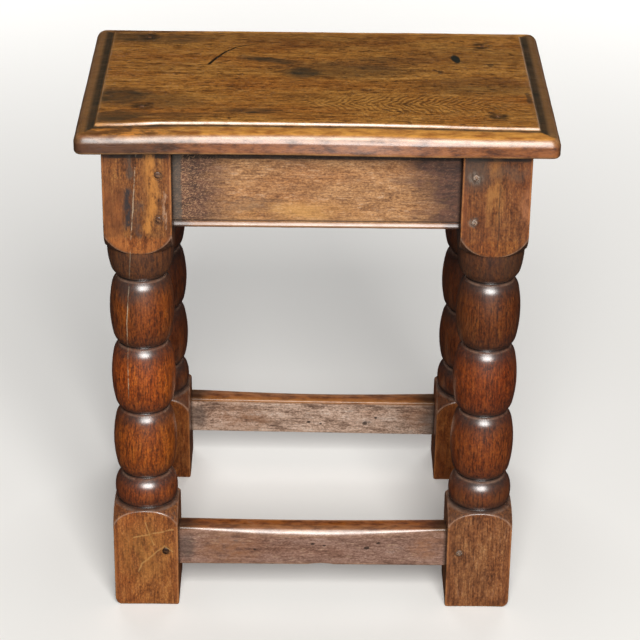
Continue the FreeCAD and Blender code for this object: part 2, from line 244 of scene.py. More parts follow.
def shapedSheet(sheet, place, values, material):
    # what the finish needs to know is worked out on the flat sheet, before it takes its shape
    for label, value in values.items():
        sheet = stored(sheet, label, value)
    shaped = sheet.node("GeometryNodeSetPosition", None, {"Geometry": sheet, "Position": place})
    sealed = shaped.node("GeometryNodeMergeByDistance", None, {"Geometry": shaped, "Distance": tiny})
    closeTree(sealed, material)


def leant(x, y, z, lean, footX, footY):
    # from a leaning piece's own axes to the stool's
    cosine, sine = lean.math("COSINE"), lean.math("SINE")
    return joined(x + footX, y * cosine - z * sine + footY, y * sine + z * cosine)


def withValues(mesh, **values):
    # keeps a number, or a triple, for each point of a mesh
    for label, value in values.items():
        value = np.asarray(value, np.float32)
        kind, slot = ("FLOAT", "value") if value.ndim == 1 else ("FLOAT_VECTOR", "vector")
        mesh.attributes.new(label, kind, "POINT").data.foreach_set(slot, value.ravel())
    return mesh


def rowsMesh(name, rows, **values):
    mesh = bpy.data.meshes.new(name)
    steps = [(i, i + 1) for i in range(len(rows) - 1)]
    mesh.from_pydata([tuple(map(float, row)) for row in rows], steps, [])
    return withValues(mesh, **values)


def finished(name, mesh):
    # turns a shell that came out inside out, and keeps it in the construction's box
    corners = np.empty(len(mesh.vertices) * 3, np.float32)
    mesh.vertices.foreach_get("co", corners)
    corners = corners.reshape(-1, 3)
    mesh.calc_loop_triangles()
    faces = np.empty(len(mesh.loop_triangles) * 3, np.int32)
    mesh.loop_triangles.foreach_get("vertices", faces)
    a, b, c = (corners[faces.reshape(-1, 3)[:, k]].astype(float) for k in range(3))
    if np.einsum("ij,ij->i", a, np.cross(b, c)).sum() < 0:
        mesh.flip_normals()
    corners = np.clip(corners, cadBox[0], cadBox[1])
    mesh.vertices.foreach_set("co", corners.astype(np.float32).ravel())
    mesh.name = name
    piece = bpy.data.objects.new(name, mesh)
    bpy.context.scene.collection.objects.link(piece)
    return piece


def grown(name, source, tree, settings):
    # runs a tree on a source mesh and keeps the plain mesh that comes out
    holder = bpy.data.objects.new(name + "Source", source)
    bpy.context.scene.collection.objects.link(holder)
    growth = holder.modifiers.new("growth", "NODES")
    growth.node_group = tree
    for socket in tree.interface.items_tree:
        if socket.in_out == "INPUT" and socket.name in settings:
            growth[socket.identifier] = settings[socket.name]
    graph = bpy.context.evaluated_depsgraph_get()
    ready = holder.evaluated_get(graph)
    mesh = bpy.data.meshes.new_from_object(ready, preserve_all_data_layers=True, depsgraph=graph)
    holder.modifiers.clear()
    bpy.data.objects.remove(holder)
    return finished(name, mesh)


# oak

# how often each pattern repeats along, across and through the grain, per metre
oak = {
    "waver": (9, 45, 45),
    "patch": (9, 30, 30),
    "cloud": (26, 75, 75),
    "line": (20, 400, 400),
    "fibre": (45, 1000, 1000),
    "fleck": (130, 800, 800),
    "grit": (650, 1500, 1500),
    "blotch": (80, 190, 190),
    "net": (200, 400, 400),
    "speck": (330, 520, 520),
    "ring": (5, 22, 22),
    "bumpDepth": 0.0006,
}


def oakMaterial(name, look, marks):
    material = bpy.data.materials.new(name)
    material.use_nodes = True
    material.node_tree.nodes.clear()
    pen = Wire(material.node_tree)
    grain = attribute(pen, "grain", "Vector")
    wear, dirt, shade, flat = (attribute(pen, label) for label in ("wear", "dirt", "shade", "flat"))

    waver = stretched(speckle(stretched(grain, *oak["waver"]), detail=2, rough=0.5, out="Color"),
                      0.0, look["waver"], look["waver"])
    bent = grain.node("ShaderNodeVectorMath", {"operation": "ADD"}, {0: grain, 1: waver})
    patch = speckle(stretched(grain, *oak["patch"]), detail=4)
    cloud = speckle(stretched(bent, *oak["cloud"]), detail=6, rough=0.68)
    fine = look["fine"]
    streak = speckle(stretched(bent, *oak["line"]), fine, 3, 0.6)
    fibre = speckle(stretched(bent, *oak["fibre"]), fine, 2)
    fleck = speckle(stretched(bent, *oak["fleck"]), fine, 2)
    grit = speckle(stretched(bent, *oak["grit"]), fine, 1)
    blotch = speckle(stretched(bent, *oak["blotch"]), fine, 4, 0.7)
    speck = speckle(stretched(bent, *oak["speck"]), detail=3, rough=0.65)

    # growth rings round a pith that lies beside the board
    along, across, deep = parts(grain)
    wave = speckle(stretched(grain, *oak["ring"]), detail=2) * look["ringWave"]
    offY = across - look["pith"][0] + along * look["pithRun"][0]
    offZ = deep - look["pith"][1] + along * look["pithRun"][1]
    ring = ((distance(offY, offZ) + wave) / look["ringGap"]).math("FRACT")
    ringDark = held(1 - ring * 3.2) * look["ringDepth"]

    lively = 1 - flat * look["calm"]
    tone = (0.5 + sway(streak, look["streakDepth"]) * lively + sway(fibre, look["fibreDepth"])
            + sway(cloud, look["cloudDepth"]) + sway(grit, look["gritDepth"]) - ringDark
            + sway(blotch, look["blotchDepth"]) * (0.4 + flat * 0.6) + sway(speck, look["speckDepth"]))
    colour = pen.node("ShaderNodeValToRGB", {"stops": look["tones"]}, {"Fac": held(tone)})
    colour = tinted(held(sway(patch, 3.2) + look["warmth"]), colour, look["warmTint"], "MULTIPLY")
    soot = held((cloud - 0.56 + sway(patch, 0.5)) * 7) * look["sootDepth"]
    colour = tinted(soot, colour, look["sootTint"], "MULTIPLY")
    pores = held((0.43 - fleck) * 18) * look["poreDepth"] * lively
    colour = tinted(pores, colour, look["poreColour"])
    bare = above(fleck, 0.58, 12) * above(blotch, 0.42, 6) * look["bareDepth"]
    colour = tinted(bare, colour, look["bareColour"])
    net = pen.node("ShaderNodeTexVoronoi", {"feature": "DISTANCE_TO_EDGE"}, {
        "Vector": stretched(bent, *oak["net"]), "Scale": 1.0})
    crazing = held((0.08 - net) * 14) * above(blotch, 0.38, 4) * look["crazing"]
    colour = tinted(crazing, colour, look["poreColour"])
    roughness = look["roughness"] + sway(cloud, 0.3) + sway(fibre, 0.12) + bare * 0.15
    height = (streak * 0.45 + fibre * 0.3 + cloud * 0.5 + grit * 0.3 + speck * 0.7
              - pores * 0.6 - ringDark * 0.4 - crazing * 0.8)

    colour, roughness, height, gloss = marks(grain, colour, roughness, height, cloud, blotch)
    # painted shade and patina, where the shade attribute is set
    shadeMask = held(shade * (0.95 + sway(cloud, 1.4)))
    colour = tinted(shadeMask, colour, look["shadeAndPatina"])
    dirtMask = held(dirt * (0.85 + sway(cloud, 1.2)))
    colour = tinted(dirtMask, colour, look["dirt"])
    # on turned parts the wear colour is pale, which also paints the highlight of the crease lips
    wearMask = held(wear * (0.9 + sway(cloud, 3.6) + sway(blotch, 2.6))) * look["wearDepth"]
    colour = tinted(wearMask, colour, tinted(flat, look["lipWearAndHighlight"], look["wearColour"]))
    roughness = held(roughness + dirtMask * 0.22 - wearMask * 0.05, 0.12, 0.95)

    # the coat is duller where shade and patina are painted, and where there is dirt
    polish = held(0.95 + sway(blotch, 1.2)) * (1 - shadeMask * 0.55) * (1 - dirtMask * 0.6)
    polish = polish * gloss * look["coat"]
    bump = pen.node("ShaderNodeBump", None, {
        "Height": height, "Strength": look["bump"], "Distance": oak["bumpDepth"]})
    surface = pen.node("ShaderNodeBsdfPrincipled", None, {
        "Base Color": colour, "Roughness": roughness, "Normal": bump, "Specular IOR Level": look["specular"],
        "Coat Weight": polish, "Coat Roughness": look["coatRoughness"], "Coat IOR": look["coatIor"]})
    pen.node("ShaderNodeOutputMaterial", None, {"Surface": surface})
    return material


def banded(level, high, bands, blend=0.0015):
    # a colour for each stretch of a length; neighbours run into each other over the blend
    stops = [(0.0, bands[0][1])]
    for (_, colour), (start, following) in zip(bands, bands[1:]):
        stops += [(max(start - blend, 0) / high, colour), ((start + blend) / high, following)]
    stops.append((1.0, bands[-1][1]))
    return level.node("ShaderNodeValToRGB", {"stops": stops}, {"Fac": level / high})


def blob(x, y, middleX, middleY, reachX, reachY, turn=0.0, soft=2.0):
    # 1 in the middle of a turned oval, 0 outside it
    cosine, sine = math.cos(math.radians(turn)), math.sin(math.radians(turn))
    u = ((x - middleX) * cosine + (y - middleY) * sine) / reachX
    v = ((y - middleY) * cosine - (x - middleX) * sine) / reachY
    return held((1 - distance(u, v)) * soft)


def stroke(x, y, start, finish, width):
    # 1 on a straight line between two points, 0 beyond its width
    runX, runY = finish[0] - start[0], finish[1] - start[1]
    share = held(((x - start[0]) * runX + (y - start[1]) * runY) / (runX * runX + runY * runY))
    return held(1.3 - distance(x - start[0] - share * runX, y - start[1] - share * runY) / width)


print("helpers ready")

# top board

board = {
    "mouldWidth": 0.018,
    "mouldStep": 0.0028,
    "mouldFall": 0.0012,
    "nose": 0.0082,
    "noseDepth": 0.0060,
    "noseFlatness": 1.33,
    "corner": 0.0085,
    "cornerSteps": 6,
    "alongX": 150,
    "alongY": 90,
    "hollow": 0.00035,
    "ripple": 0.00008,
    "edgeWander": 0.00045,
    "edgeRipple": 0.00025,
    # beyond this distance from an end the board has no end moulding
    "endReach": 0.0205,
    # the top's rubbed edge: how far in from the quirk, and how far down
    "lip": [(0.0031, 0.0001), (0.0026, 0.0003), (0.0021, 0.0007), (0.0018, 0.0012), (0.0014, 0.0018),
            (0.0009, 0.0024)],
    # the quirk, in from the top's edge and down from the shelf, with its dirt and wear
    "quirk": [(-0.0001, 0, 1, 0), (-0.0006, 0.0005, 1, 0), (-0.0014, 0.0003, 1, 0),
              (-0.0022, 0.0003, 0.6, 0), (-0.0034, 0.0004, 0.25, 0), (-0.0048, 0.0005, 0.08, 0)],
    # the lower arris and the underside, in from the face and up from the underside
    "lowerArris": [(0.0001, 0.0016, 0, 0.5), (0.0005, 0.0007, 0.1, 0.6), (0.0012, 0.0002, 0.4, 0.3),
                   (0.0024, 0, 0.7, 0), (0.010, 0, 0.6, 0), (0.024, 0, 0.6, 0), (0.040, 0, 0.6, 0)],
    # how far the front edge is worn back: place along the board, at the quirk, the nose and the lower arris
    "frontWear": [(-0.23, 0.002, 0.0, 0.0), (-0.205, 0.003, 0.001, 0.0), (-0.18, 0.0045, 0.0015, 0.001),
                  (-0.15, 0.0085, 0.0035, 0.0025), (-0.10, 0.0098, 0.0048, 0.003),
                  (-0.03, 0.0092, 0.0062, 0.003), (0.05, 0.0082, 0.0058, 0.0012),
                  (0.11, 0.0064, 0.0028, 0.0), (0.16, 0.0034, 0.0, 0.0), (0.20, 0.0026, 0.0, 0.0),
                  (0.23, 0.002, 0.0, 0.0)],
    "frontWearReach": 0.040,
}
topLook = {
    "tones": [(0.0, (0.09, 0.034, 0.007)), (0.35, (0.285, 0.112, 0.018)), (0.6, (0.51, 0.220, 0.038)),
              (1.0, (0.80, 0.42, 0.10))],
    "warmTint": (0.84, 0.66, 0.50), "warmth": 0.25,
    "sootTint": (0.50, 0.46, 0.44), "sootDepth": 0.6,
    "poreColour": (0.06, 0.022, 0.008), "poreDepth": 0.85,
    "bareColour": (0.52, 0.29, 0.09), "bareDepth": 0.5,
    "shadeAndPatina": (0.03, 0.02, 0.012), "dirt": (0.02, 0.018, 0.011),
    "lipWearAndHighlight": (0.50, 0.27, 0.11), "wearColour": (0.50, 0.27, 0.11), "wearDepth": 0.8,
    "waver": 0.010, "fine": 0.75, "calm": 0.0, "crazing": 0.35,
    "ringWave": 0.03, "ringGap": 0.0062, "ringDepth": 0.14, "pith": (-0.02, 0.46), "pithRun": (0.03, 0.05),
    "streakDepth": 0.5, "fibreDepth": 0.9, "cloudDepth": 0.75, "gritDepth": 0.6,
    "blotchDepth": 0.7, "speckDepth": 0.8,
    "roughness": 0.46, "bump": 0.5, "specular": 0.3,
    "coat": 1.0, "coatRoughness": 0.33, "coatIor": 1.9,
}
topPegs = {
    "front_left": (-0.16866, -0.07513),
    "front_right": (0.17233, -0.09083),
    "back_left": (-0.17267, 0.10453),
    "back_right": (0.16933, 0.08883),
}
# the single marks on the top, each with its middle or its points along and across the board
topMarks = {
    # middle, reach along and across, turn, depth
    "stains": [(-0.190, -0.052, 0.034, 0.022, 0, 0.95), (-0.158, -0.060, 0.052, 0.018, -6, 0.6),
               (-0.190, 0.104, 0.045, 0.015, 0, 0.85), (-0.150, 0.100, 0.06, 0.014, 6, 0.6),
               (-0.043, 0.044, 0.036, 0.008, -12, 0.95), (-0.014, 0.014, 0.022, 0.016, 0, 1.0),
               (0.030, 0.022, 0.075, 0.024, 0, 0.6), (0.160, -0.018, 0.065, 0.024, 0, 0.5),
               (-0.195, -0.100, 0.040, 0.014, 5, 0.9), (-0.066, -0.084, 0.034, 0.007, 0, 0.6),
               (0.075, 0.045, 0.060, 0.014, 4, 0.5), (-0.150, -0.098, 0.06, 0.010, 3, 0.5),
               (0.150, 0.060, 0.07, 0.03, 0, 0.25), (0.0, 0.10, 0.12, 0.03, 0, 0.3)],
    "stainSpread": 1.2,
    "stainColour": (0.035, 0.026, 0.014),
    "featherLine": -0.064,
    "feather": (0.09, -0.064, 0.125, 0.027, -1, 2.4),
    "split": [(-0.1085, 0.0335), (-0.1018, 0.0506), (-0.0928, 0.0672), (-0.0827, 0.0792), (-0.0723, 0.0852),
              (-0.0600, 0.0892)],
    "splitWidths": (0.0016, 0.0013, 0.0010, 0.0008, 0.0006),
    "knot": (0.1400, 0.0527, 0.0048, 0.0125, 8, 5),
    "nicks": [(-0.210, 0.017, 0.006, 0.003), (0.2056, -0.0457, 0.003, 0.016),
              (0.1233, 0.018, 0.003, 0.005), (0.174, 0.0373, 0.004, 0.003),
              (-0.062, -0.087, 0.006, 0.0035), (0.0623, 0.0435, 0.010, 0.0015)],
    "pegRim": 0.0051,
    "pegSmudge": 0.013,
}


def mouldingMarks(colour, blotch, leftward, mottle, onShelf, onNose, onFace, onEnds):
    # orange on the shelf, darker to the left, with a dark face below the nose
    leftOak = tinted(above(blotch, 0.50, 8), (0.045, 0.014, 0.007), (0.56, 0.19, 0.030))
    shelfOak = tinted(leftward * 0.8, tinted(mottle, (0.34, 0.11, 0.016), (0.80, 0.36, 0.06)), leftOak)
    colour = tinted(onShelf * (1 - onEnds) * 0.9, colour, shelfOak)
    colour = tinted(onShelf * onEnds * 0.75, colour, (0.13, 0.065, 0.025))
    colour = tinted(onNose * 0.75, colour, tinted(mottle, (0.22, 0.085, 0.035), (0.38, 0.19, 0.095)))
    faceOak = tinted(mottle, (0.11, 0.036, 0.020), (0.32, 0.110, 0.036))
    faceOak = tinted(held(leftward * 0.8 + held(0.45 - mottle) * 0.8), faceOak, (0.055, 0.028, 0.020))
    colour = tinted(onFace * 0.95, colour, faceOak)
    return tinted(onFace * onEnds * 0.8, colour, (0.10, 0.045, 0.020))


def boardMarks(grain, colour, roughness, height, cloud, blotch):
    x, y, z = parts(grain)
    top, step = stool["height"], board["mouldStep"]
    fromEnd, fromSide = stool["topLength"] / 2 - apart(x), stool["topWidth"] / 2 - apart(y)
    onTop = held((z - (top - 0.0014)) / 0.001)
    onFace = held((top - step - board["mouldFall"] - 0.0022 - z) / 0.003)
    onShelf = held((top - step * 0.85 - z) / 0.0008) * (1 - onFace)
    onNose = held((top - 0.0046 - z) / 0.0012) * (1 - onFace)
    onEnds = held((board["endReach"] - fromEnd) / 0.002) * held((fromSide - fromEnd) / 0.004 + 0.5)
    mottle = above(blotch, 0.36, 4)
    leftward = held((x + 0.10 + sway(cloud, 0.12)) * -16)
    colour = mouldingMarks(colour, blotch, leftward, mottle, onShelf, onNose, onFace, onEnds)

    wobble = parts(speckle(stretched(grain, 60, 60, 60), detail=3, rough=0.5, out="Color"))
    nearX, nearY = x + sway(wobble[0], 0.012), y + sway(wobble[1], 0.010)
    spread = topMarks["stainSpread"]
    stain = most(*(blob(nearX, nearY, middleX, middleY, reachX * spread, reachY * spread, turn) * depth
                   for middleX, middleY, reachX, reachY, turn, depth in topMarks["stains"]))
    stain = held(stain * (0.8 + sway(cloud, 1.8))) * onTop
    colour = tinted(stain, colour, topMarks["stainColour"])
    # feathered figure near the front
    feather = (x * 135 - apart(y - topMarks["featherLine"]) * 120 + sway(wobble[2], 3.0)) * (2 * math.pi)
    feather = feather.math("SINE")
    feathered = blob(x, y, *topMarks["feather"]) * onTop * above(blotch, 0.30, 5)
    colour = tinted(feathered * held(feather * 1.2) * 0.7, colour, (0.12, 0.045, 0.008))
    colour = tinted(feathered * held(-0.1 - feather) * 0.5, colour, (0.56, 0.26, 0.05))
    # curved split
    splitX = x + sway(wobble[1], 0.002)
    split = most(*(stroke(splitX, y, start, finish, width) for start, finish, width in zip(
        topMarks["split"], topMarks["split"][1:], topMarks["splitWidths"])))
    split = held(split * 1.4) * onTop
    colour = tinted(split, colour, (0.012, 0.007, 0.003))
    # knot, nicks, and the dirt round the pegs
    knot = blob(x + sway(wobble[0], 0.004), y + sway(wobble[1], 0.005), *topMarks["knot"]) * onTop
    colour = tinted(knot, colour, (0.022, 0.022, 0.016))
    nicks = most(*(blob(nearX, nearY, *nick, soft=3) for nick in topMarks["nicks"]))
    colour = tinted(nicks * onTop * 0.7, colour, (0.05, 0.03, 0.015))
    rims = []
    for pegX, pegY in topPegs.values():
        fromRim = apart(distance(x - pegX, y - pegY) - topMarks["pegRim"])
        smudge = blob(nearX, nearY, pegX, pegY, topMarks["pegSmudge"], topMarks["pegSmudge"])
        rims.append(held(1.2 - fromRim / 0.0009) * above(blotch, 0.40, 7))
        rims.append(smudge * above(blotch, 0.38, 7) * 0.9)
    colour = tinted(most(*rims) * onTop * 0.9, colour, (0.02, 0.013, 0.007))
    # painted highlight: the worn front arris is painted pale and kept glossy most at the middle left, the
    # face is duller
    arris = held((z - top + 0.0029) / 0.0005) * held((top - 0.0005 - z) / 0.0003)
    arrisHighlight = held((x + 0.205) / 0.05) * (1 - held((x - 0.06) / 0.08) * 0.4) * held(0.9 + sway(cloud, 2.4))
    colour = tinted(arris * arrisHighlight * above(blotch, 0.3, 4) * 0.85, colour, (0.80, 0.66, 0.56))
    gloss = (1 - arris * (1 - arrisHighlight)) * (1 - onFace * 0.4) * (1 - stain * 0.3)
    gloss = gloss * (1 - onShelf * leftward * 0.5)
    return colour, roughness + stain * 0.1, height - split * 3 - knot * 0.8 - nicks * 0.8, gloss


def boardSection():
    # inset from the board's edge, height, dirt, wear; from the top round the moulding to the underside
    top, bottom, width = stool["height"], underside, board["mouldWidth"]
    nose, deep, flatness = board["nose"], board["noseDepth"], board["noseFlatness"]
    shelf = top - board["mouldStep"]
    brow = shelf - board["mouldFall"]
    section = [(0.040, top, 0, 0), (0.030, top, 0, 0), (0.0245, top, 0, 0),
               (width + 0.0036, top - 3 * tiny, 0, 0.1)]
    section += [(width + back, top - down, 0, 0.45) for back, down in board["lip"]]
    section.append((width + 0.0004, top - board["mouldStep"] * 0.95, 0.7, 0))
    section += [(width + across, shelf - down, *worn) for across, down, *worn in board["quirk"]]
    for share in np.linspace(0.6, 0.98, 4):
        section.append((width + (deep - width) * share, shelf - board["mouldFall"] * share, 0, 0.1))
    for angle in np.linspace(0, math.pi / 2, 15):
        outward, upward = math.sin(angle) ** flatness, max(math.cos(angle), 0.0) ** flatness
        section.append((deep * (1 - outward), brow - nose * (1 - upward), 0, 0.3 * math.sin(2 * angle)))
    section += [(0.0, z, 0, 0) for z in np.linspace(brow - nose - 0.001, bottom + 0.0026, 6)]
    return section + [(inset, bottom + up, *worn) for inset, up, *worn in board["lowerArris"]]


def boardRing(reachX, reachY, corner, z):
    # one turn round the board, with round corners
    counts, turns = (board["alongX"], board["alongY"]), board["cornerSteps"]
    centres = [(reachX, reachY), (-reachX, reachY), (-reachX, -reachY), (reachX, -reachY)]
    ring = []

    def onCorner(number, quarters):
        x, y = centres[number % 4]
        angle = quarters * math.pi / 2
        return np.array((x + corner * math.cos(angle), y + corner * math.sin(angle), z))

    for number in range(4):
        ring += [onCorner(number, number + k / turns) for k in range(turns + 1)]
        start, finish = onCorner(number, number + 1), onCorner(number + 1, number + 1)
        count = counts[number % 2]
        ring += [start + (finish - start) * k / count for k in range(1, count)]
    return ring


def boardShell(section):
    # rings down the moulding, and a grid that closes the top and the underside
    a, b = stool["topLength"] / 2, stool["topWidth"] / 2
    nx, ny = board["alongX"], board["alongY"]
    points, values, faces = [], [], []
    for number, (inset, z, *worn) in enumerate(section):
        closing = number in (0, len(section) - 1)
        corner = 0.0 if closing else max(board["corner"] - inset * 0.55, 0.0006)
        ring = boardRing(a - inset - corner, b - inset - corner, corner, z)
        points += ring
        values += [worn] * len(ring)
    around = len(ring)
    for upper in range(0, (len(section) - 1) * around, around):
        lower = upper + around
        for k in range(around):
            following = (k + 1) % around
            faces.append((upper + k, lower + k, lower + following, upper + following))
    for (inset, z, *worn), upward in ((section[0], True), (section[-1], False)):
        start = len(points)
        for i in range(nx + 1):
            for j in range(ny + 1):
                points.append(((a - inset) * (1 - 2 * i / nx), (b - inset) * (1 - 2 * j / ny), z))
        values += [worn] * (len(points) - start)
        for i in range(nx):
            for j in range(ny):
                p = start + i * (ny + 1) + j
                quad = (p, p + 1, p + ny + 2, p + ny + 1)
                faces.append(quad[::-1] if upward else quad)
    return np.array(points), faces, *np.array(values, float).T


def ramped(value, low, high):
    return np.clip((value - low) / (high - low), 0, 1)


def wornBack(points):
    # the front edge is worn back by those who sat on it
    x, y, z = points.T
    fromFront, fromEnd = stool["topWidth"] / 2 + y, stool["topLength"] / 2 - np.abs(x)
    middleNose = stool["height"] - board["mouldStep"] - board["mouldFall"] - board["nose"] / 2
    places, *amounts = zip(*board["frontWear"])
    atQuirk, atNose, atFoot = (np.interp(x, places, amount) for amount in amounts)
    cornerEase = ramped(fromEnd, 0, 0.02)
    atFoot = atFoot * cornerEase
    atEdge = atFoot + (atNose * cornerEase - atFoot) * ramped(z, underside, middleNose)
    push = atEdge + (atQuirk - atEdge) * ramped(fromFront, 0.004, board["mouldWidth"])
    push = push * ramped(fromFront, board["frontWearReach"], board["mouldWidth"] + 0.004)
    push = np.where(z < underside + 0.0001, atFoot * ramped(fromFront, 0.02, 0), push)
    points[:, 1] += push * (y < 0)


def handPlaned(points):
    # shallow hollows, and edges that wander a little
    a, b = stool["topLength"] / 2, stool["topWidth"] / 2
    brow = stool["height"] - board["mouldStep"] - board["mouldFall"]
    for point, (x, y, z) in zip(points, points.tolist()):
        slow = 0.5 + 0.5 * fieldNoise.noise(Vector((x * 14, y * 20, z * 10)))
        quick = fieldNoise.noise(Vector((x * 55 + 7, y * 55, z * 60)))
        point[2] -= ramped(z, underside, brow) * (board["hollow"] * slow + board["ripple"] * quick)
        if underside + 0.0005 < z < stool["height"] - 0.0003:
            pull = board["edgeWander"] * slow + board["edgeRipple"] * (0.5 + 0.5 * quick)
            point[0] -= math.copysign(pull, x) * ramped(abs(x), a - 0.02, a - 0.008)
            point[1] -= math.copysign(pull, y) * ramped(abs(y), b - 0.02, b - 0.008)


def makeBoard():
    points, faces, dirt, wear = boardShell(boardSection())
    x, y, z = points.T
    top = stool["height"]
    fromEnd, fromSide = stool["topLength"] / 2 - np.abs(x), stool["topWidth"] / 2 - np.abs(y)
    # the quirk is darker at the ends than at the sides
    atEnd = ramped(fromEnd, board["endReach"], board["endReach"] - 0.001) * (fromEnd < fromSide + 0.0015)
    inQuirk = atEnd * ramped(fromEnd, 0.0098, 0.0118) * (z > underside + 0.012) * (z < top - 0.0012)
    dirt = np.maximum(dirt, inQuirk * 0.95)
    wear = wear * np.where(z > underside + 0.001, 1, 0.6) * (1 - 0.6 * atEnd * (z > top - 0.003))
    wornBack(points)
    handPlaned(points)
    mesh = bpy.data.meshes.new("topBoard")
    mesh.from_pydata(points.tolist(), [], faces)
    withValues(mesh, dirt=dirt, wear=wear, flat=np.ones(len(points)), grain=points)
    work = bmesh.new()
    work.from_mesh(mesh)
    bmesh.ops.remove_doubles(work, verts=work.verts, dist=2 * tiny)
    work.to_mesh(mesh)
    work.free()
    mesh.polygons.foreach_set("use_smooth", [True] * len(mesh.polygons))
    mesh.materials.append(oakMaterial("topOak", topLook, boardMarks))
    return finished("topBoard", mesh)


topBoard = makeBoard()
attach(topBoard, "root")
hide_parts("top_board")
print("top board made,", len(topBoard.data.polygons), "faces")

# legs

leg = {
    "lowCorner": 0.092,
    "ring": 0.1115,
    "ringRadius": 0.0285,
    "ringRise": 0.0125,
    "lowNeck": 0.1435,
    "bobbins": 3,
    "bobbinRadius": 0.0324,
    "bobbinShoulder": 0.015,
    "neckRadius": 0.0235,
    "neckWidth": 0.0016,
    "cushionHeight": 0.033,
    "upperShoulder": 0.021,
    "upperMargin": 0.003,
    "upperBulge": 0.0021,
    "lowerBulge": 0.004,
    "facePoints": 40,
    "cornerCrowding": 1.44,
    "blockBlend": 0.0011,
    "levelReach": 0.06,
    "grooveDepth": 0.0007,
    "lipHeight": 0.0004,
    "cutWidth": 0.0006,
    "blockRadius": 0.06,
    "endRadii": (0.0, 0.012, 0.024, 0.0315, 0.036, 0.042),
    "endInset": 0.0012,
    "endRounding": 0.0016,
    "sharpness": 44.0,
    "unevenness": 0.0006,
    "footWear": 0.0095,
}
highCorner = friezeBottom - leg["upperMargin"]
cushionTop = highCorner - leg["upperShoulder"]
highNeck = cushionTop - leg["cushionHeight"]
neckPitch = (highNeck - leg["lowNeck"]) / leg["bobbins"]
neckLevels = [leg["lowNeck"] + k * neckPitch for k in range(leg["bobbins"] + 1)]


def arcRun(start, finish, bulge, count=24):
    # points of a shallow arc that stands out by bulge to the right of its chord
    run, rise = finish[0] - start[0], finish[1] - start[1]
    chord = math.hypot(run, rise)
    shares = np.linspace(0, 1, count)
    radius = (chord * chord / 4 + bulge * bulge) / (2 * abs(bulge))
    stand = np.sqrt(radius ** 2 - (chord * (shares - 0.5)) ** 2) - (radius - abs(bulge))
    stand *= math.copysign(1, bulge)
    return [(start[0] + run * s + rise / chord * d, start[1] + rise * s - run / chord * d)
            for s, d in zip(shares, stand)]


def quarterBobbin(belly, finish, count=24):
    # flat belly, then a tighter shoulder down to the neck
    depth, run = belly[0] - finish[0], abs(finish[1] - belly[1])
    way = 1 if finish[1] > belly[1] else -1
    plain = (run * run + depth * depth) / (2 * depth)
    wide, tight = 1.66 * plain, min(leg["bobbinShoulder"], 0.9 * plain)
    inner, reach = wide - tight, math.hypot(wide - depth, run)
    turn = math.acos((reach ** 2 + inner ** 2 - tight ** 2) / (2 * reach * inner))
    join = math.atan2(run, wide - depth) - turn

    def bow(centre, radius, first, last):
        return [(centre[0] + radius * math.cos(t), centre[1] + way * radius * math.sin(t))
                for t in np.linspace(first, last, count)]

    centre = (belly[0] - wide, belly[1])
    second = (centre[0] + inner * math.cos(join), centre[1] + way * inner * math.sin(join))
    last = math.atan2(abs(finish[1] - second[1]), finish[0] - second[0])
    return bow(centre, wide, 0, join) + bow(second, tight, join, last)


def turnedProfile():
    # level and radius of the turned length
    flat, belly, neck = leg["neckWidth"] / 2, leg["bobbinRadius"], leg["neckRadius"]
    corner = half * math.sqrt(2)
    points = arcRun((leg["ringRadius"], leg["ring"]), (corner, leg["lowCorner"]), -leg["lowerBulge"])
    low = (belly, leg["ring"] + leg["ringRise"])
    points += quarterBobbin(low, (leg["ringRadius"], leg["ring"] + 5 * tiny))
    points += quarterBobbin(low, (neck, leg["lowNeck"] - flat))
    for level in neckLevels[:-1]:
        middle = (belly, level + neckPitch / 2)
        points += quarterBobbin(middle, (neck, level + flat))
        points += quarterBobbin(middle, (neck, level + neckPitch - flat))
    points += quarterBobbin((half, cushionTop), (neck, highNeck + flat))
    points += arcRun((half, cushionTop), (corner, highCorner), leg["upperBulge"])
    radii, levels = zip(*sorted(points, key=lambda point: point[1]))
    return levels, radii


def legLevels(creases):
    # closest together where the shape turns fastest
    levels, z = [], 0.0
    while z < legLength:
        levels.append(z)
        nearEnd = 0.0003 + 0.35 * min(z, legLength - z)
        gap = 0.0004 + 0.16 * min(abs(z - crease) for crease in creases)
        if leg["lowCorner"] - 0.004 < z < leg["ring"] or cushionTop - 0.006 < z < highCorner + 0.002:
            gap = min(gap, 0.0006)
        gap = min(gap, 0.0022, nearEnd)
        if z < leg["lowCorner"] - 0.004 or z > highCorner + 0.002:
            gap = min(0.0036, nearEnd)
        z += max(gap, 0.0003)
    return levels + [legLength]


def swell(z, middle, width):
    # a soft swelling that is 1 at its middle
    return math.exp(-((z - middle) / width) ** 2)


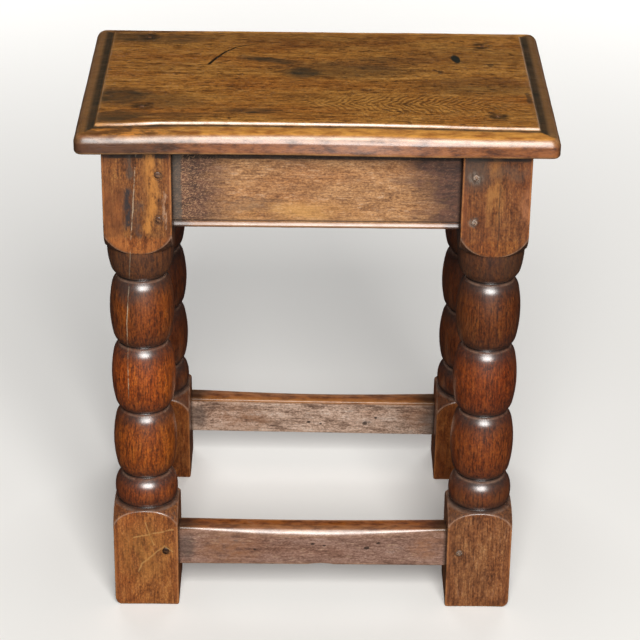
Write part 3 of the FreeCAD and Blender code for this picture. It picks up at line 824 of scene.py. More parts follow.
def legRows():
    # radius, inset and height of each level, with the dirt, painted shade and wear of the creases
    profile = turnedProfile()
    creases = neckLevels + [leg["ring"]]
    cut, rounding = leg["cutWidth"], leg["endRounding"]
    rows = [(radius, leg["endInset"], 0.0) for radius in leg["endRadii"]]
    for z in legLevels(creases):
        radius = np.interp(z, *profile) if leg["lowCorner"] < z < highCorner else leg["blockRadius"]
        for level in neckLevels:
            radius -= leg["grooveDepth"] * swell(z, level + 0.0002, cut)
            radius += leg["lipHeight"] * swell(z, level - 0.0013, cut)
        radius += 0.0004 * swell(z, leg["ring"] - 0.0014, cut) - 0.0006 * swell(z, leg["ring"], cut)
        inset = leg["endInset"] * max(0.0, 1 - min(z, legLength - z) / rounding) ** 2
        rows.append((radius, inset, z))
    rows += [(radius, leg["endInset"], legLength) for radius in reversed(leg["endRadii"])]
    dirt, shade, wear = [], [], []
    for radius, inset, z in rows:
        dirt.append(max(swell(z, level + 0.0003, 0.0009) for level in creases))
        # the pale lip below each crease: wear, and a painted highlight
        wear.append(0.4 * max(swell(z, level - 0.0016, 0.0007) for level in creases))
        # painted shade that fades away above and below each crease
        passed = [z - crease for crease in creases if z >= crease]
        coming = [crease - z for crease in creases if z < crease]
        fall = math.exp(-(min(passed) / 0.014) ** 1.5) * 0.8 if passed else 0.0
        rise = math.exp(-(min(coming) / 0.014) ** 1.8) * 0.9 if coming else 0.0
        # painted shade: the cushion below the block and the shoulder above the foot stay dark
        least = 0.7 if highNeck < z < highCorner else 0.5 if leg["lowCorner"] < z < leg["ring"] else 0.0
        shade.append(max(fall, rise, least) if leg["ring"] - 0.002 < z < highCorner else least)
    return rowsMesh("legRows", rows, dirt=dirt, shade=shade, wear=wear), len(rows)


def legTree():
    pen, given = newTree("turnedLeg", {
        "Rows": "Int", "Columns": "Int", "Face Points": "Float", "Half": "Float", "Sharpness": "Float",
        "Lean": "Float", "Foot X": "Float", "Foot Y": "Float", "Side": "Float", "End": "Float",
        "Foot Wear": "Float", "Seed": "Float", "Length": "Float", "Tilt": "Float", "Unevenness": "Float",
        "Oak": "Material"})
    sheet, column, row, (radius, inset, level) = flatSheet(pen, given)
    # four faces, with points drawn close together at the corners
    face = (column / given["Face Points"] + 0.0001).math("FLOOR")
    share = (column - face * given["Face Points"]) / given["Face Points"] * 2 - 1
    crowding = leg["cornerCrowding"]
    angle = face * (math.pi / 2) + ((share * crowding).math("SINE") / math.sin(crowding)).math("ARCTANGENT")
    cosine, sine = angle.math("COSINE"), angle.math("SINE")
    seedPlace = joined(cosine * 0.03 + given["Seed"], sine * 0.03, level)
    slow = speckle(stretched(seedPlace, 22, 22, 16), detail=2)
    blunt = given["Sharpness"] * (0.55 + speckle(stretched(seedPlace, 60, 60, 45), detail=2) * 0.9)
    square = given["Half"] * ((apart(cosine) ** blunt + apart(sine) ** blunt) ** (-1 / blunt))
    reach = (square - inset).math("SMOOTH_MIN", radius, leg["blockBlend"]) - slow * given["Unevenness"]
    x, y = reach * cosine, reach * sine
    # the foot's outer edge is worn round
    worn, lift = given["Foot Wear"], most(given["Foot Wear"] - level, 0.0)
    limit = given["Half"] - worn + most(worn * worn - lift * lift, 0.0).math("SQRT")
    x = (x * given["Side"]).math("MINIMUM", limit) * given["Side"]
    # both ends are sawn level although the leg leans
    nearFoot, nearHead = (held(1 - way / leg["levelReach"]) for way in (level, given["Length"] - level))
    z = level - y * given["Tilt"] * (nearFoot + nearHead)
    # where the block ends, its arrises and the foot's rim are worn
    edge = held(1 - apart(square - radius) / 0.0013) * held((radius - given["Half"] - 0.0004) / 0.001)
    block = held((radius - square) / 0.002)
    corner = held((apart(x).math("MINIMUM", apart(y)) / given["Half"] - 0.93) / 0.045) * block
    rim = held(1 - level / 0.003) * held((most(apart(x), apart(y)) / given["Half"] - 0.93) / 0.04)
    source = given["Geometry"]
    shapedSheet(sheet, leant(x, y, z, given["Lean"], given["Foot X"], given["Foot Y"]), {
        "wear": most(edge, corner, rim, rowValue(source, row, named(pen, "wear"))),
        "dirt": rowValue(source, row, named(pen, "dirt")) * (1 - block),
        "shade": rowValue(source, row, named(pen, "shade")) * (1 - block),
        "flat": block,
        "grain": joined(level, x + given["Seed"], y),
        "legPlace": joined(x * given["Side"], y * given["End"], level),
    }, given["Oak"])
    return pen.tree


legLook = {
    "tones": [(0.0, (0.055, 0.017, 0.004)), (0.35, (0.235, 0.069, 0.011)), (0.6, (0.47, 0.152, 0.023)),
              (1.0, (0.80, 0.35, 0.066))],
    "warmTint": (1.0, 0.82, 0.66), "warmth": 0.3,
    "sootTint": (0.42, 0.40, 0.42), "sootDepth": 0.5,
    "poreColour": (0.06, 0.018, 0.007), "poreDepth": 0.7,
    "bareColour": (0.62, 0.26, 0.07), "bareDepth": 0.45,
    # the first colour below paints the shade and patina of the creases
    "shadeAndPatina": (0.036, 0.024, 0.021), "dirt": (0.012, 0.009, 0.008),
    "lipWearAndHighlight": (0.46, 0.27, 0.18), "wearColour": (0.50, 0.20, 0.07), "wearDepth": 0.7,
    "waver": 0.004, "fine": 0.8, "calm": 0.8, "crazing": 0.45,
    "ringWave": 0.012, "ringGap": 0.0048, "ringDepth": 0.12, "pith": (0.12, 0.03), "pithRun": (0.02, 0.03),
    "streakDepth": 0.7, "fibreDepth": 0.6, "cloudDepth": 0.75, "gritDepth": 0.5,
    "blotchDepth": 1.1, "speckDepth": 0.9,
    "roughness": 0.50, "bump": 0.60, "specular": 0.12,
    "coat": 1.0, "coatRoughness": 0.31, "coatIor": 2.5,
}
# how each stretch of a leg has darkened: foot, half bobbin, three bobbins, cushion, block; the back legs are
# darker all over, which is painted shade
legTints = {
    ("front", "left"): [(0.98, 1.0, 1.35), (0.88, 0.58, 0.30), (0.99, 0.73, 0.26), (1.0, 0.65, 0.22),
                        (0.67, 0.50, 0.24), (0.88, 0.80, 0.75), (0.69, 0.75, 0.92)],
    ("front", "right"): [(0.79, 0.92, 1.9), (0.60, 0.46, 0.34), (0.63, 0.42, 0.26), (0.66, 0.40, 0.20),
                         (0.42, 0.32, 0.22), (0.66, 0.61, 0.52), (0.56, 0.54, 0.66)],
    ("back", "left"): [(0.70, 0.62, 0.72), (0.50, 0.35, 0.25), (0.45, 0.30, 0.18), (0.38, 0.24, 0.14),
                       (0.38, 0.24, 0.14), (0.35, 0.28, 0.25), (0.5, 0.5, 0.5)],
    ("back", "right"): [(0.70, 0.62, 0.72), (0.55, 0.38, 0.25), (0.50, 0.33, 0.20), (0.45, 0.30, 0.18),
                        (0.45, 0.30, 0.18), (0.40, 0.32, 0.28), (0.5, 0.5, 0.5)],
}
pegLevels = {
    "upper": legLength - 0.028,
    "lower": friezeBottom + 0.0126,
    "stretcher": stool["stretcherLevel"] + stool["stretcherHeight"] / 2,
}
pegInset = 0.013
pegRim = 0.0043
# the front legs' own marks; places are outwards from the middle of the face, and up the leg
frontLeft = {
    # lines of each stripe on the block with their widths, then its depth and its colour
    "stripes": [
        ([((0.0049, 0.512), (0.0052, 0.480), 0.0042)], 0.75, (0.075, 0.058, 0.045)),
        ([((0.0083, 0.463), (0.0083, 0.430), 0.0060)], 0.95, (0.030, 0.024, 0.026)),
        ([((-0.0008, 0.452), (-0.0014, 0.418), 0.0034)], 0.7, (0.060, 0.034, 0.030)),
        ([((-0.0109, 0.512), (-0.0122, 0.485), 0.0050), ((-0.0122, 0.485), (-0.0152, 0.458), 0.0052),
          ((-0.0152, 0.458), (-0.0098, 0.424), 0.0050)], 0.8, (0.62, 0.24, 0.040)),
        ([((-0.0265, 0.462), (-0.0285, 0.424), 0.0012)], 0.5, (0.62, 0.38, 0.24))],
    "embers": [(-0.018, 0.395, 0.018, 0.020, 0, 1.5), (0.020, 0.404, 0.014, 0.018, 0, 1.5)],
    "patch": (0.013, 0.352, 0.016, 0.016, 0, 1.8),
    "scratches": [((0.000, 0.0965), (-0.0085, 0.070)), ((0.012, 0.079), (-0.028, 0.0885)),
                  ((-0.0193, 0.069), (0.005, 0.0475)), ((-0.0193, 0.069), (-0.027, 0.063)),
                  ((0.005, 0.0475), (0.008, 0.038))],
    "scratchWidth": 0.0008,
    "gold": (0.002, 0.062, 0.036, 0.040, 0, 1.5),
    "hole": (-0.0195, 0.0635, 0.0028, 0.0034, 20, 4),
}
frontRight = {
    "glow": (-0.001, 0.466, 0.011, 0.044, 0, 1.6),
    "blush": (0.031, 0.448, 0.010, 0.026, 0, 1.6),
    "grey": (-0.022, 0.488, 0.020, 0.026, 0, 1.8),
    "greyBand": (0.012, 0.487, 0.026, 0.010, 0, 1.5),
    # reach and depth of the grey round each peg of the block
    "smudges": {"upper": (0.0085, 0.8), "lower": (0.0065, 0.6)},
}


def frontLeftMarks(colour, out, deep, level, onFace, cloud, blotch):
    # dark and orange stripes, a pale split down the leg, scratches and a hole on the foot
    wander = sway(cloud, 0.016)
    upper = held((level - 0.405) / 0.02)
    outer = held((out - 0.010 + wander) / 0.006) * held((0.478 - level + wander) / 0.02) * upper
    outerOak = tinted(above(blotch, 0.3, 3), (0.10, 0.030, 0.008), (0.30, 0.085, 0.015))
    colour = tinted(outer * 0.75, colour, outerOak)
    sideways, upward = out + wander + sway(blotch, 0.013), level + sway(cloud, 0.012) + sway(blotch, 0.024)
    for lines, depth, tone in frontLeft["stripes"]:
        stripe = most(*(stroke(sideways, upward, *line) for line in lines))
        colour = tinted(stripe * onFace * above(blotch, 0.36, 6) * depth, colour, tone)
    embers = most(*(blob(sideways, level, *ember) for ember in frontLeft["embers"]))
    colour = tinted(embers * onFace * above(blotch, 0.36, 5) * 0.6, colour, (0.48, 0.15, 0.028))
    patch = blob(sideways, level, *frontLeft["patch"]) * above(blotch, 0.2, 3)
    colour = tinted(patch * 0.7, colour, (0.045, 0.030, 0.027))
    fromCrack = out - (0.0045 + (0.44 - level) * 0.075).math("MINIMUM", 0.0135) + sway(blotch, 0.0022)
    crack = held(1.2 - apart(fromCrack) / 0.00055)
    crack = crack * held((deep - 0.004) / 0.004) * held((level - 0.225) / 0.02)
    crack = crack * above(blotch, 0.42, 8) * (1 - upper * above(cloud, 0.42, 8) * 0.8)
    colour = tinted(crack * 0.9, colour, (0.62, 0.46, 0.30))
    nearX, nearZ = out + sway(blotch, 0.004), level + sway(cloud, 0.006)
    width = frontLeft["scratchWidth"]
    scratches = most(*(stroke(nearX, nearZ, *line, width) for line in frontLeft["scratches"]))
    colour = tinted(scratches * onFace * above(blotch, 0.30, 6) * 0.7, colour, (0.66, 0.36, 0.12))
    gold = blob(out + sway(cloud, 0.03), level + sway(blotch, 0.03), *frontLeft["gold"])
    colour = tinted(gold * onFace * above(cloud, 0.35, 4) * 0.45, colour, (0.60, 0.27, 0.060))
    return tinted(blob(out, level, *frontLeft["hole"]) * onFace, colour, (0.012, 0.01, 0.008))


def frontRightMarks(colour, out, level, onFace, cloud, blotch):
    # a dark check up the block with orange beside it, grey round the pegs
    glow = blob(out + sway(blotch, 0.014), level, *frontRight["glow"])
    colour = tinted(glow * above(blotch, 0.36, 5) * 0.6, colour, (0.46, 0.19, 0.040))
    blush = blob(out + sway(blotch, 0.012), level, *frontRight["blush"])
    colour = tinted(blush * above(blotch, 0.3, 4) * 0.55, colour, (0.50, 0.19, 0.075))
    grey = blob(out + sway(blotch, 0.01), level + sway(cloud, 0.02), *frontRight["grey"])
    grey = most(grey, blob(out, level + sway(cloud, 0.03), *frontRight["greyBand"]) * 0.6)
    colour = tinted(grey * onFace * 0.7, colour, (0.075, 0.056, 0.042))
    nearX, nearZ = out + sway(blotch, 0.008), level + sway(cloud, 0.01)
    for pegName, (reach, depth) in frontRight["smudges"].items():
        smudge = blob(nearX, nearZ, pegInset - half, pegLevels[pegName], reach, reach)
        colour = tinted(smudge * onFace * above(blotch, 0.42, 7) * depth * 0.7, colour, (0.30, 0.24, 0.19))
    crack = held(1.1 - apart(out - 0.0032 + sway(cloud, 0.006)) / 0.0008) * onFace
    crack = crack * held((level - 0.40) / 0.01) * held((0.49 - level) / 0.02)
    return tinted(crack * above(blotch, 0.32, 5) * 0.8, colour, (0.03, 0.014, 0.008))


def legMarks(endName, sideName):
    starts = [0.0, leg["ring"], *neckLevels, highCorner - 0.004]
    tints = list(zip(starts, legTints[endName, sideName]))

    def marks(grain, colour, roughness, height, cloud, blotch):
        out, deep, level = parts(attribute(grain, "legPlace", "Vector"))
        onFace = held((deep - half + 0.0015) / 0.0008)
        onEnd = held((out - half + 0.0015) / 0.0008)
        colour = tinted(1.0, colour, banded(level, legLength, tints), "MULTIPLY")
        # painted shadow along the top of the block, under the board
        shadowUnderTop = held((level - legLength + 0.0102 + sway(blotch, 0.003)) / 0.0015)
        colour = tinted(shadowUnderTop * 0.92, colour, (0.016, 0.008, 0.006))
        # reddish towards the arrises, and pale on them: rubbed wear with a painted highlight
        edge = apart(out) * onFace + apart(deep) * onEnd * (1 - onFace)
        nearEdge = held((edge - half + 0.008 + sway(cloud, 0.012)) / 0.006)
        colour = tinted(nearEdge * above(blotch, 0.3, 4) * 0.45, colour, (0.22, 0.055, 0.016))
        arrisWearAndGlint = held((edge - half + 0.0022) / 0.0012) * above(blotch, 0.44, 9)
        colour = tinted(arrisWearAndGlint * 0.6, colour, (0.60, 0.27, 0.11))
        # dirt round the pegs
        rims = []
        for pegLevel in pegLevels.values():
            for mask, across in ((onFace, out), (onEnd, deep)):
                fromRim = apart(distance(across + half - pegInset, level - pegLevel) - pegRim)
                rims.append(held(1.15 - fromRim / 0.0010) * mask * above(blotch, 0.36, 6))
        rim = most(*rims)
        colour = tinted(rim * 0.65, colour, (0.022, 0.012, 0.008))
        if (endName, sideName) == ("front", "left"):
            colour = frontLeftMarks(colour, out, deep, level, onFace, cloud, blotch)
        if (endName, sideName) == ("front", "right"):
            colour = frontRightMarks(colour, out, level, onFace, cloud, blotch)
        # faint lines left by the turning
        turned = speckle(joined(0.0, 0.0, level * 900), detail=1)
        gloss = 1 - held(attribute(grain, "wear") * 2) * above(blotch, 0.36, 5) * 0.85
        return colour, roughness, height + turned * 0.25 - rim * 0.8, gloss

    return marks


rows, rowCount = legRows()
tree = legTree()
for number, (endName, sideName) in enumerate(legTints, 1):
    end, side = ends[endName], sides[sideName]
    name = f"leg{endName.capitalize()}{sideName.capitalize()}"
    look = dict(legLook, pith=(0.12 + 0.03 * side, 0.03 * end))
    piece = grown(name, rows.copy(), tree, {
        "Rows": rowCount, "Columns": 4 * leg["facePoints"] + 1, "Face Points": float(leg["facePoints"]),
        "Half": half, "Sharpness": leg["sharpness"], "Unevenness": leg["unevenness"],
        "Foot Wear": leg["footWear"], "Length": legLength, "Tilt": end * slope, "Lean": end * stool["rake"],
        "Foot X": side * stool["legCentresX"] / 2, "Foot Y": end * footCentresY / 2,
        "Side": float(side), "End": float(end), "Seed": 0.37 * number,
        "Oak": oakMaterial(name + "Oak", look, legMarks(endName, sideName))})
    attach(piece, "root")
    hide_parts(f"leg_{endName}_{sideName}")
    print(name, "made,", len(piece.data.polygons), "faces")

# frieze and stretchers

rail = {
    "friezeThick": 0.022,
    "bead": 0.0064,
    # the bead is rubbed flat above: height and depth as shares of the bead
    "beadShares": [(0.0, 0.5), (0.03, 0.28), (0.12, 0.10), (0.24, 0.02), (0.34, 0.0), (0.44, 0.0),
                   (0.52, 0.02), (0.60, 0.07), (0.68, 0.13), (0.76, 0.19), (0.84, 0.25), (0.91, 0.32),
                   (0.97, 0.41), (1.0, 0.5)],
    "stretcherThick": 0.0207,
    "easing": 0.0022,
    "coreDepth": 0.0105,
    "columns": 150,
    # how far feet have worn a stretcher down and rounded its upper arris, its tilt, and a chip below
    "wear": {"stretcherFront": {"Sag": 0.0026, "Arris": 0.0080, "Notch": 0.0016},
             "stretcherBack": {"Sag": 0.0009, "Arris": 0.0060, "Tip": -0.012},
             "stretcherLeft": {"Sag": 0.0026, "Arris": 0.0080},
             "stretcherRight": {"Sag": 0.0026, "Arris": 0.0080}},
    "notchPlace": 0.009,
    "notchReach": 0.013,
    # wormholes: place along the rail, level, radius
    "frontHoles": [(0.0, 0.068, 0.0016), (0.012, 0.066, 0.0012), (0.056, 0.063, 0.0022),
                   (0.068, 0.069, 0.0014), (-0.06, 0.06, 0.001)],
    "backHoles": [(-0.0046, 0.0565, 0.0020), (0.0092, 0.0545, 0.0014), (0.0596, 0.056, 0.0027),
                  (0.072, 0.064, 0.0017)],
}
frontDepth = half - stool["railRecess"]


def friezeSection(highOuter, highInner):
    # depth from the outer face, level, dirt, wear
    low, bead, thick = friezeBottom, rail["bead"], rail["friezeThick"]
    high = low + bead
    section = [(bead * deep, low + bead * share, 0.0, 0.1) for share, deep in rail["beadShares"]]
    section += [(bead / 2 + 0.0002, high + 0.0002, 1, 0), (bead / 2 - 0.0008, high + 0.0008, 1, 0),
                (0.0006, high + 0.0017, 0.8, 0), (0.0001, high + 0.0026, 0.15, 0.4)]
    section += [(0.0, z, 0, 0) for z in np.linspace(high + 0.004, highOuter - 0.002, 22)]
    section += [(0.0001, highOuter - 0.0006, 0.3, 0), (0.0008, highOuter, 0.4, 0),
                (thick / 2, (highOuter + highInner) / 2, 0.5, 0), (thick - 0.0008, highInner, 0.5, 0),
                (thick, highInner - 0.0008, 0.4, 0)]
    section += [(thick, z, 0.3, 0) for z in np.linspace(highInner - 0.006, low + 0.006, 8)]
    section += [(thick, low + 0.0008, 0.2, 0.3), (thick - 0.0008, low, 0.2, 0.3), (thick * 0.6, low, 0.2, 0),
                (thick * 0.3, low, 0.2, 0)]
    return section + [section[0]]


def stretcherSection():
    # depth from the outer face, level, dirt, wear
    low, thick, easing = stool["stretcherLevel"], rail["stretcherThick"], rail["easing"]
    high = low + stool["stretcherHeight"]

    def rounded(cx, cz, radius, first, last, wear):
        return [(cx + radius * math.cos(angle), cz + radius * math.sin(angle), 0, wear)
                for angle in np.radians(np.linspace(first, last, 6))]

    section = rounded(0.0012, low + 0.0012, 0.0012, 270, 180, 0.6)
    section += [(0.0, z, 0, 0) for z in np.linspace(low + 0.003, high - 0.010, 11)]
    section += [(0.0, z, 0, 0.3) for z in np.linspace(high - 0.009, high - 0.003, 7)]
    section += rounded(easing, high - easing, easing, 180, 90, 0.6)
    section += [(x, high, 0, 0.3) for x in np.linspace(0.003, 0.009, 7)]
    section += [(x, high, 0, 0) for x in np.linspace(0.0105, thick - 0.004, 5)]
    section += rounded(thick - 0.0016, high - 0.0016, 0.0016, 90, 0, 0.6)
    section += [(thick, z, 0, 0) for z in np.linspace(high - 0.005, low + 0.004, 8)]
    section += rounded(thick - 0.001, low + 0.001, 0.001, 0, -90, 0.3)
    section += [(x, low, 0, 0) for x in np.linspace(thick - 0.004, 0.004, 4)]
    return section + [section[0]]


def railTree():
    pen, given = newTree("steadyRail", {
        "Rows": "Int", "Columns": "Int", "Half Length": "Float", "End Slope": "Float", "Slope From": "Float",
        "Across": "Float", "Outward": "Float", "Front": "Float", "Lean": "Float", "Place X": "Float",
        "Place Y": "Float", "Low": "Float", "High": "Float", "Sag": "Float", "Arris": "Float",
        "Tip": "Float", "Notch": "Float", "Seed": "Float", "Oak": "Material"})
    sheet, column, row, (depth, _, level) = flatSheet(pen, given)
    low, high = given["Low"], given["High"]
    share = held((column - 1) / (given["Columns"] - 3)) * 2 - 1
    along = share * (given["Half Length"] + (given["Slope From"] - level) * given["End Slope"])
    rubbed = most(1 - share * share, 0.0) ** 1.3
    seedPlace = joined(along + given["Seed"], depth, level)
    slow = speckle(stretched(seedPlace, 18, 40, 40), detail=2) - 0.5
    quick = speckle(stretched(seedPlace, 70, 120, 120), detail=2) - 0.5
    # feet have worn the front upper arris down between the legs
    down = given["Sag"] * held((level - low) / (high - low)) * rubbed * (0.6 + held(1 - depth / 0.020) * 0.4)
    bottom = held(1 - (level - low) / 0.003)
    chip = held(1 - apart(along - rail["notchPlace"]) / rail["notchReach"]) ** 0.6 * given["Notch"] * bottom
    # that arris has also gone round
    radius = rail["easing"] + given["Arris"] * rubbed * (0.85 + slow * 0.15)
    inX, inZ = most(radius - depth, 0.0), most(level - high + radius, 0.0)
    reach = most(distance(inX, inZ), tiny)
    over = held((reach - radius) / reach) * held(given["Arris"] * 10000)
    wornDepth = depth + inX * over + (slow + 0.5) * 0.0003 * held(1 - depth / 0.004)
    wornLevel = level - inZ * over - down + chip + bottom * (quick + 0.5) * 0.0005 + along * given["Tip"]
    # the first and the last column close the ends
    shut = held(column) * held(given["Columns"] - 1 - column)
    middleDepth, middleLevel = rail["coreDepth"], (high + low) / 2
    side = given["Outward"] * (given["Front"] - (middleDepth + (wornDepth - middleDepth) * shut))
    z = middleLevel + (wornLevel - middleLevel) * shut
    x = along * (1 - given["Across"]) + side * given["Across"]
    y = side * (1 - given["Across"]) + along * given["Across"]
    nearEnd = held(1 - (1 - apart(share)) * given["Half Length"] / 0.004)
    source = given["Geometry"]
    shapedSheet(sheet, leant(x, y, z, given["Lean"], given["Place X"], given["Place Y"]), {
        "wear": rowValue(source, row, named(pen, "wear")) * (0.35 + rubbed * 0.65),
        "dirt": most(rowValue(source, row, named(pen, "dirt")), nearEnd * 0.8),
        "flat": 1.0,
        "grain": seedPlace,
        "railPlace": joined(along, depth, level),
    }, given["Oak"])
    return pen.tree


friezeLook = dict(
    legLook,
    tones=[(0.0, (0.12, 0.050, 0.022)), (0.35, (0.33, 0.155, 0.060)), (0.6, (0.54, 0.27, 0.110)),
           (1.0, (0.76, 0.45, 0.22))],
    warmTint=(0.85, 0.68, 0.55), warmth=0.1, poreColour=(0.12, 0.05, 0.025), poreDepth=0.45,
    bareColour=(0.75, 0.50, 0.32), wearColour=(0.55, 0.32, 0.17),
    calm=0.0, ringGap=0.006, ringDepth=0.1, pith=(-0.06, 0.25), pithRun=(0.06, 0.03),
    streakDepth=0.35, cloudDepth=0.7, blotchDepth=0.9, gritDepth=0.7, speckDepth=1.0,
    bump=0.5, specular=0.25, coatRoughness=0.33, coatIor=1.8)
stretcherLook = dict(
    friezeLook,
    tones=[(0.0, (0.10, 0.05, 0.035)), (0.35, (0.24, 0.128, 0.090)), (0.6, (0.38, 0.215, 0.16)),
           (1.0, (0.56, 0.38, 0.31))],
    wearColour=(0.55, 0.30, 0.15), pith=(0.05, 0.09),
    roughness=0.46, bump=0.35, coatRoughness=0.36, coatIor=2.0)
# paler tones for the back stretcher: its own colour, with the sheen on its face painted in
paleSheenLook = dict(
    stretcherLook,
    tones=[(0.0, (0.10, 0.055, 0.04)), (0.35, (0.38, 0.24, 0.17)), (0.6, (0.78, 0.54, 0.41)),
           (1.0, (0.92, 0.80, 0.70))],
    cloudDepth=1.3, speckDepth=0.9)


def friezeMarks(grain, colour, roughness, height, cloud, blotch):
    along, _, level = parts(attribute(grain, "railPlace", "Vector"))
    wander = sway(cloud, 0.10) + sway(blotch, 0.05)
    gold = blob(along, level + sway(cloud, 0.02), -0.02, 0.440, 0.075, 0.013, soft=1.5)
    colour = tinted(gold * above(cloud, 0.3, 4) * 0.5, colour, (0.70, 0.36, 0.10))
    grey = blob(along + wander * 0.3, level + sway(cloud, 0.02), -0.066, 0.446, 0.036, 0.010, soft=1.8)
    grey = most(grey, blob(along + wander * 0.3, level, -0.06, 0.498, 0.050, 0.007, soft=1.5))
    colour = tinted(grey * above(blotch, 0.3, 3) * 0.55, colour, (0.17, 0.11, 0.075))
    # dark dirt kept beside the legs, more of it on the right
    dark = held((along - 0.076 + (level - 0.465) * 0.45 + wander) / 0.040)
    dark = most(dark, held((-0.078 - along + wander * 0.6) / 0.030) * 0.95)
    darkOak = tinted(above(blotch, 0.40, 5), (0.050, 0.027, 0.024), (0.13, 0.055, 0.036))
    colour = tinted(dark * 0.95, colour, darkOak)
    crumbs = above(speckle(joined(along * 330, level * 520, 3.0), detail=3, rough=0.65), 0.53, 12)
    colour = tinted(crumbs * held(along * -14 - 0.7) * 0.5, colour, (0.60, 0.33, 0.17))
    # painted shadow along the top of the frieze, under the board
    under = held((level - (legLength - 0.0157) + wander * 0.03) / 0.0015)
    colour = tinted(under * 0.92, colour, (0.016, 0.008, 0.006))
    # pale scratches in three directions, closest together at the left
    scratches = []
    for turn, dense in ((62, 0.0), (-18, 0.02), (25, 0.03)):
        cosine, sine = math.cos(math.radians(turn)), math.sin(math.radians(turn))
        run, rise = along * cosine + level * sine, level * cosine - along * sine
        thin = speckle(joined(run * 240, rise * 850, turn), detail=2)
        scratches.append(held((thin - 0.60 - dense + held(along * -14 - 1.15) * 0.05) * 14))
    depth = above(blotch, 0.3, 4) * (0.22 + held(along * -20 - 1.9) * 0.45)
    colour = tinted(most(*scratches) * depth, colour, (0.60, 0.34, 0.18))
    ash = held((-0.1290 - along + wander * 0.06) / 0.002)
    colour = tinted(ash * 0.75, colour, (0.10, 0.085, 0.070))
    onBead = held((friezeBottom + rail["bead"] - level) / 0.001)
    beadEnds = held((apart(along) - 0.118 + wander * 0.3) / 0.01)
    colour = tinted(onBead * 0.8, colour, tinted(beadEnds, (0.31, 0.155, 0.080), (0.07, 0.045, 0.040)))
    return colour, roughness - onBead * 0.08, height, 1 - dark * 0.35


def stretcherMarks(grain, colour, roughness, height, cloud, blotch, pale=0.0):
    along, deep, level = parts(attribute(grain, "railPlace", "Vector"))
    onTop = held((level - stool["stretcherLevel"] - stool["stretcherHeight"] + 0.0035) / 0.002)
    # the top is rubbed orange by feet, and dark beside the legs
    topOak = tinted(above(blotch, 0.4, 4), (0.10, 0.022, 0.003), (0.34, 0.098, 0.012))
    colour = tinted(onTop * held(0.9 + sway(cloud, 0.8)), colour, topOak)
    inside = held((deep - rail["stretcherThick"] + 0.009) / 0.008)
    colour = tinted(inside * onTop * above(blotch, 0.3, 5) * pale, colour, (0.44, 0.15, 0.022))
    besideLegs = held((apart(along) - 0.112 + sway(cloud, 0.02)) / 0.018) * onTop
    colour = tinted(besideLegs * 0.85, colour, (0.030, 0.014, 0.008))
    # orange shows through the grey at the ends of the face, and the back one is dark at the far right
    nearZ = level + sway(blotch, 0.02)
    warm = most(blob(along + sway(cloud, 0.06), nearZ, -0.088, 0.062, 0.045, 0.024, soft=1.6),
                blob(along + sway(cloud, 0.04), nearZ, 0.118, 0.064, 0.022, 0.016))
    colour = tinted(warm * above(blotch, 0.36, 5) * (1 - onTop) * 0.55, colour, (0.36, 0.145, 0.055))
    dusk = held((along - 0.120 + sway(cloud, 0.04)) / 0.014) * (1 - onTop) * pale
    colour = tinted(dusk * 0.8, colour, (0.085, 0.060, 0.050))
    stain = blob(along + sway(blotch, 0.01), level, -0.130, 0.062, 0.011, 0.020) * 0.6
    colour = tinted(most(stain, above(blotch, 0.60, 8) * 0.5), colour, (0.09, 0.065, 0.055))
    # wormholes, on the outer face and on the inner one
    outer = most(*(blob(along, level, x, z, size * 1.6, size, 10, 4) for x, z, size in rail["frontHoles"]))
    inner = most(*(blob(along, level, x, z, size * 1.2, size, 10, 4) for x, z, size in rail["backHoles"]))
    holes = outer * held(1 - deep / 0.002) + inner * held((deep - rail["stretcherThick"] + 0.002) / 0.001)
    colour = tinted(holes * 0.8, colour, (0.02, 0.012, 0.008))
    gloss = (1 - besideLegs * 0.6) * (1 - held((deep - 0.007) / 0.003) * onTop * 0.5)
    return colour, roughness - onTop * 0.08, height - holes, gloss


def paleSheenMarks(*given):
    return stretcherMarks(*given, pale=0.8)


tree = railTree()
friezeOak = oakMaterial("friezeOak", friezeLook, friezeMarks)
stretcherOak = oakMaterial("stretcherOak", stretcherLook, stretcherMarks)
paleSheenOak = oakMaterial("paleSheenOak", paleSheenLook, paleSheenMarks)


def makeRail(kind, railName, across, outward, number):
    # the side rails run across the stool and stand upright, the others lean with the legs
    if kind == "stretcher":
        low, high = stool["stretcherLevel"], stool["stretcherLevel"] + stool["stretcherHeight"]
        section = stretcherSection()
    elif across:
        low, high = friezeBottom, underside
        section = friezeSection(high, high)
    else:
        low, high = friezeBottom, legLength
        section = friezeSection(high - frontDepth * slope, high - (frontDepth - rail["friezeThick"]) * slope)
    if across:
        halfLength = stool["legCentresY"] / 2 - half / math.cos(stool["rake"])
        lean, placeX, placeY = 0.0, outward * stool["legCentresX"] / 2, 0.0
    else:
        halfLength = stool["legCentresX"] / 2 - half
        lean, placeX, placeY = outward * stool["rake"], 0.0, outward * footCentresY / 2
    depths, levels, dirt, wear = zip(*section)
    points = [(depth, 0, level) for depth, level in zip(depths, levels)]
    source = rowsMesh("section", points, dirt=dirt, wear=wear)
    name = kind + railName.capitalize()
    piece = grown(name, source, tree, {
        "Rows": len(points), "Columns": rail["columns"], "Half Length": halfLength + 0.0001,
        "End Slope": slope * across, "Slope From": underside, "Across": float(across),
        "Outward": float(outward), "Front": frontDepth, "Lean": lean, "Place X": placeX, "Place Y": placeY,
        "High": high, "Low": low,
        "Seed": 0.53 * number, **rail["wear"].get(name, {}),
        "Oak": friezeOak if kind == "frieze" else paleSheenOak if railName == "back" else stretcherOak})
    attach(piece, "root")
    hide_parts(f"{kind}_{railName}")


railWays = {"front": (0, -1), "back": (0, 1), "left": (1, -1), "right": (1, 1)}
for first, kind in ((1, "frieze"), (5, "stretcher")):
    for number, (railName, (across, outward)) in enumerate(railWays.items(), first):
        makeRail(kind, railName, across, outward, number)
print("rails made")

# pegs

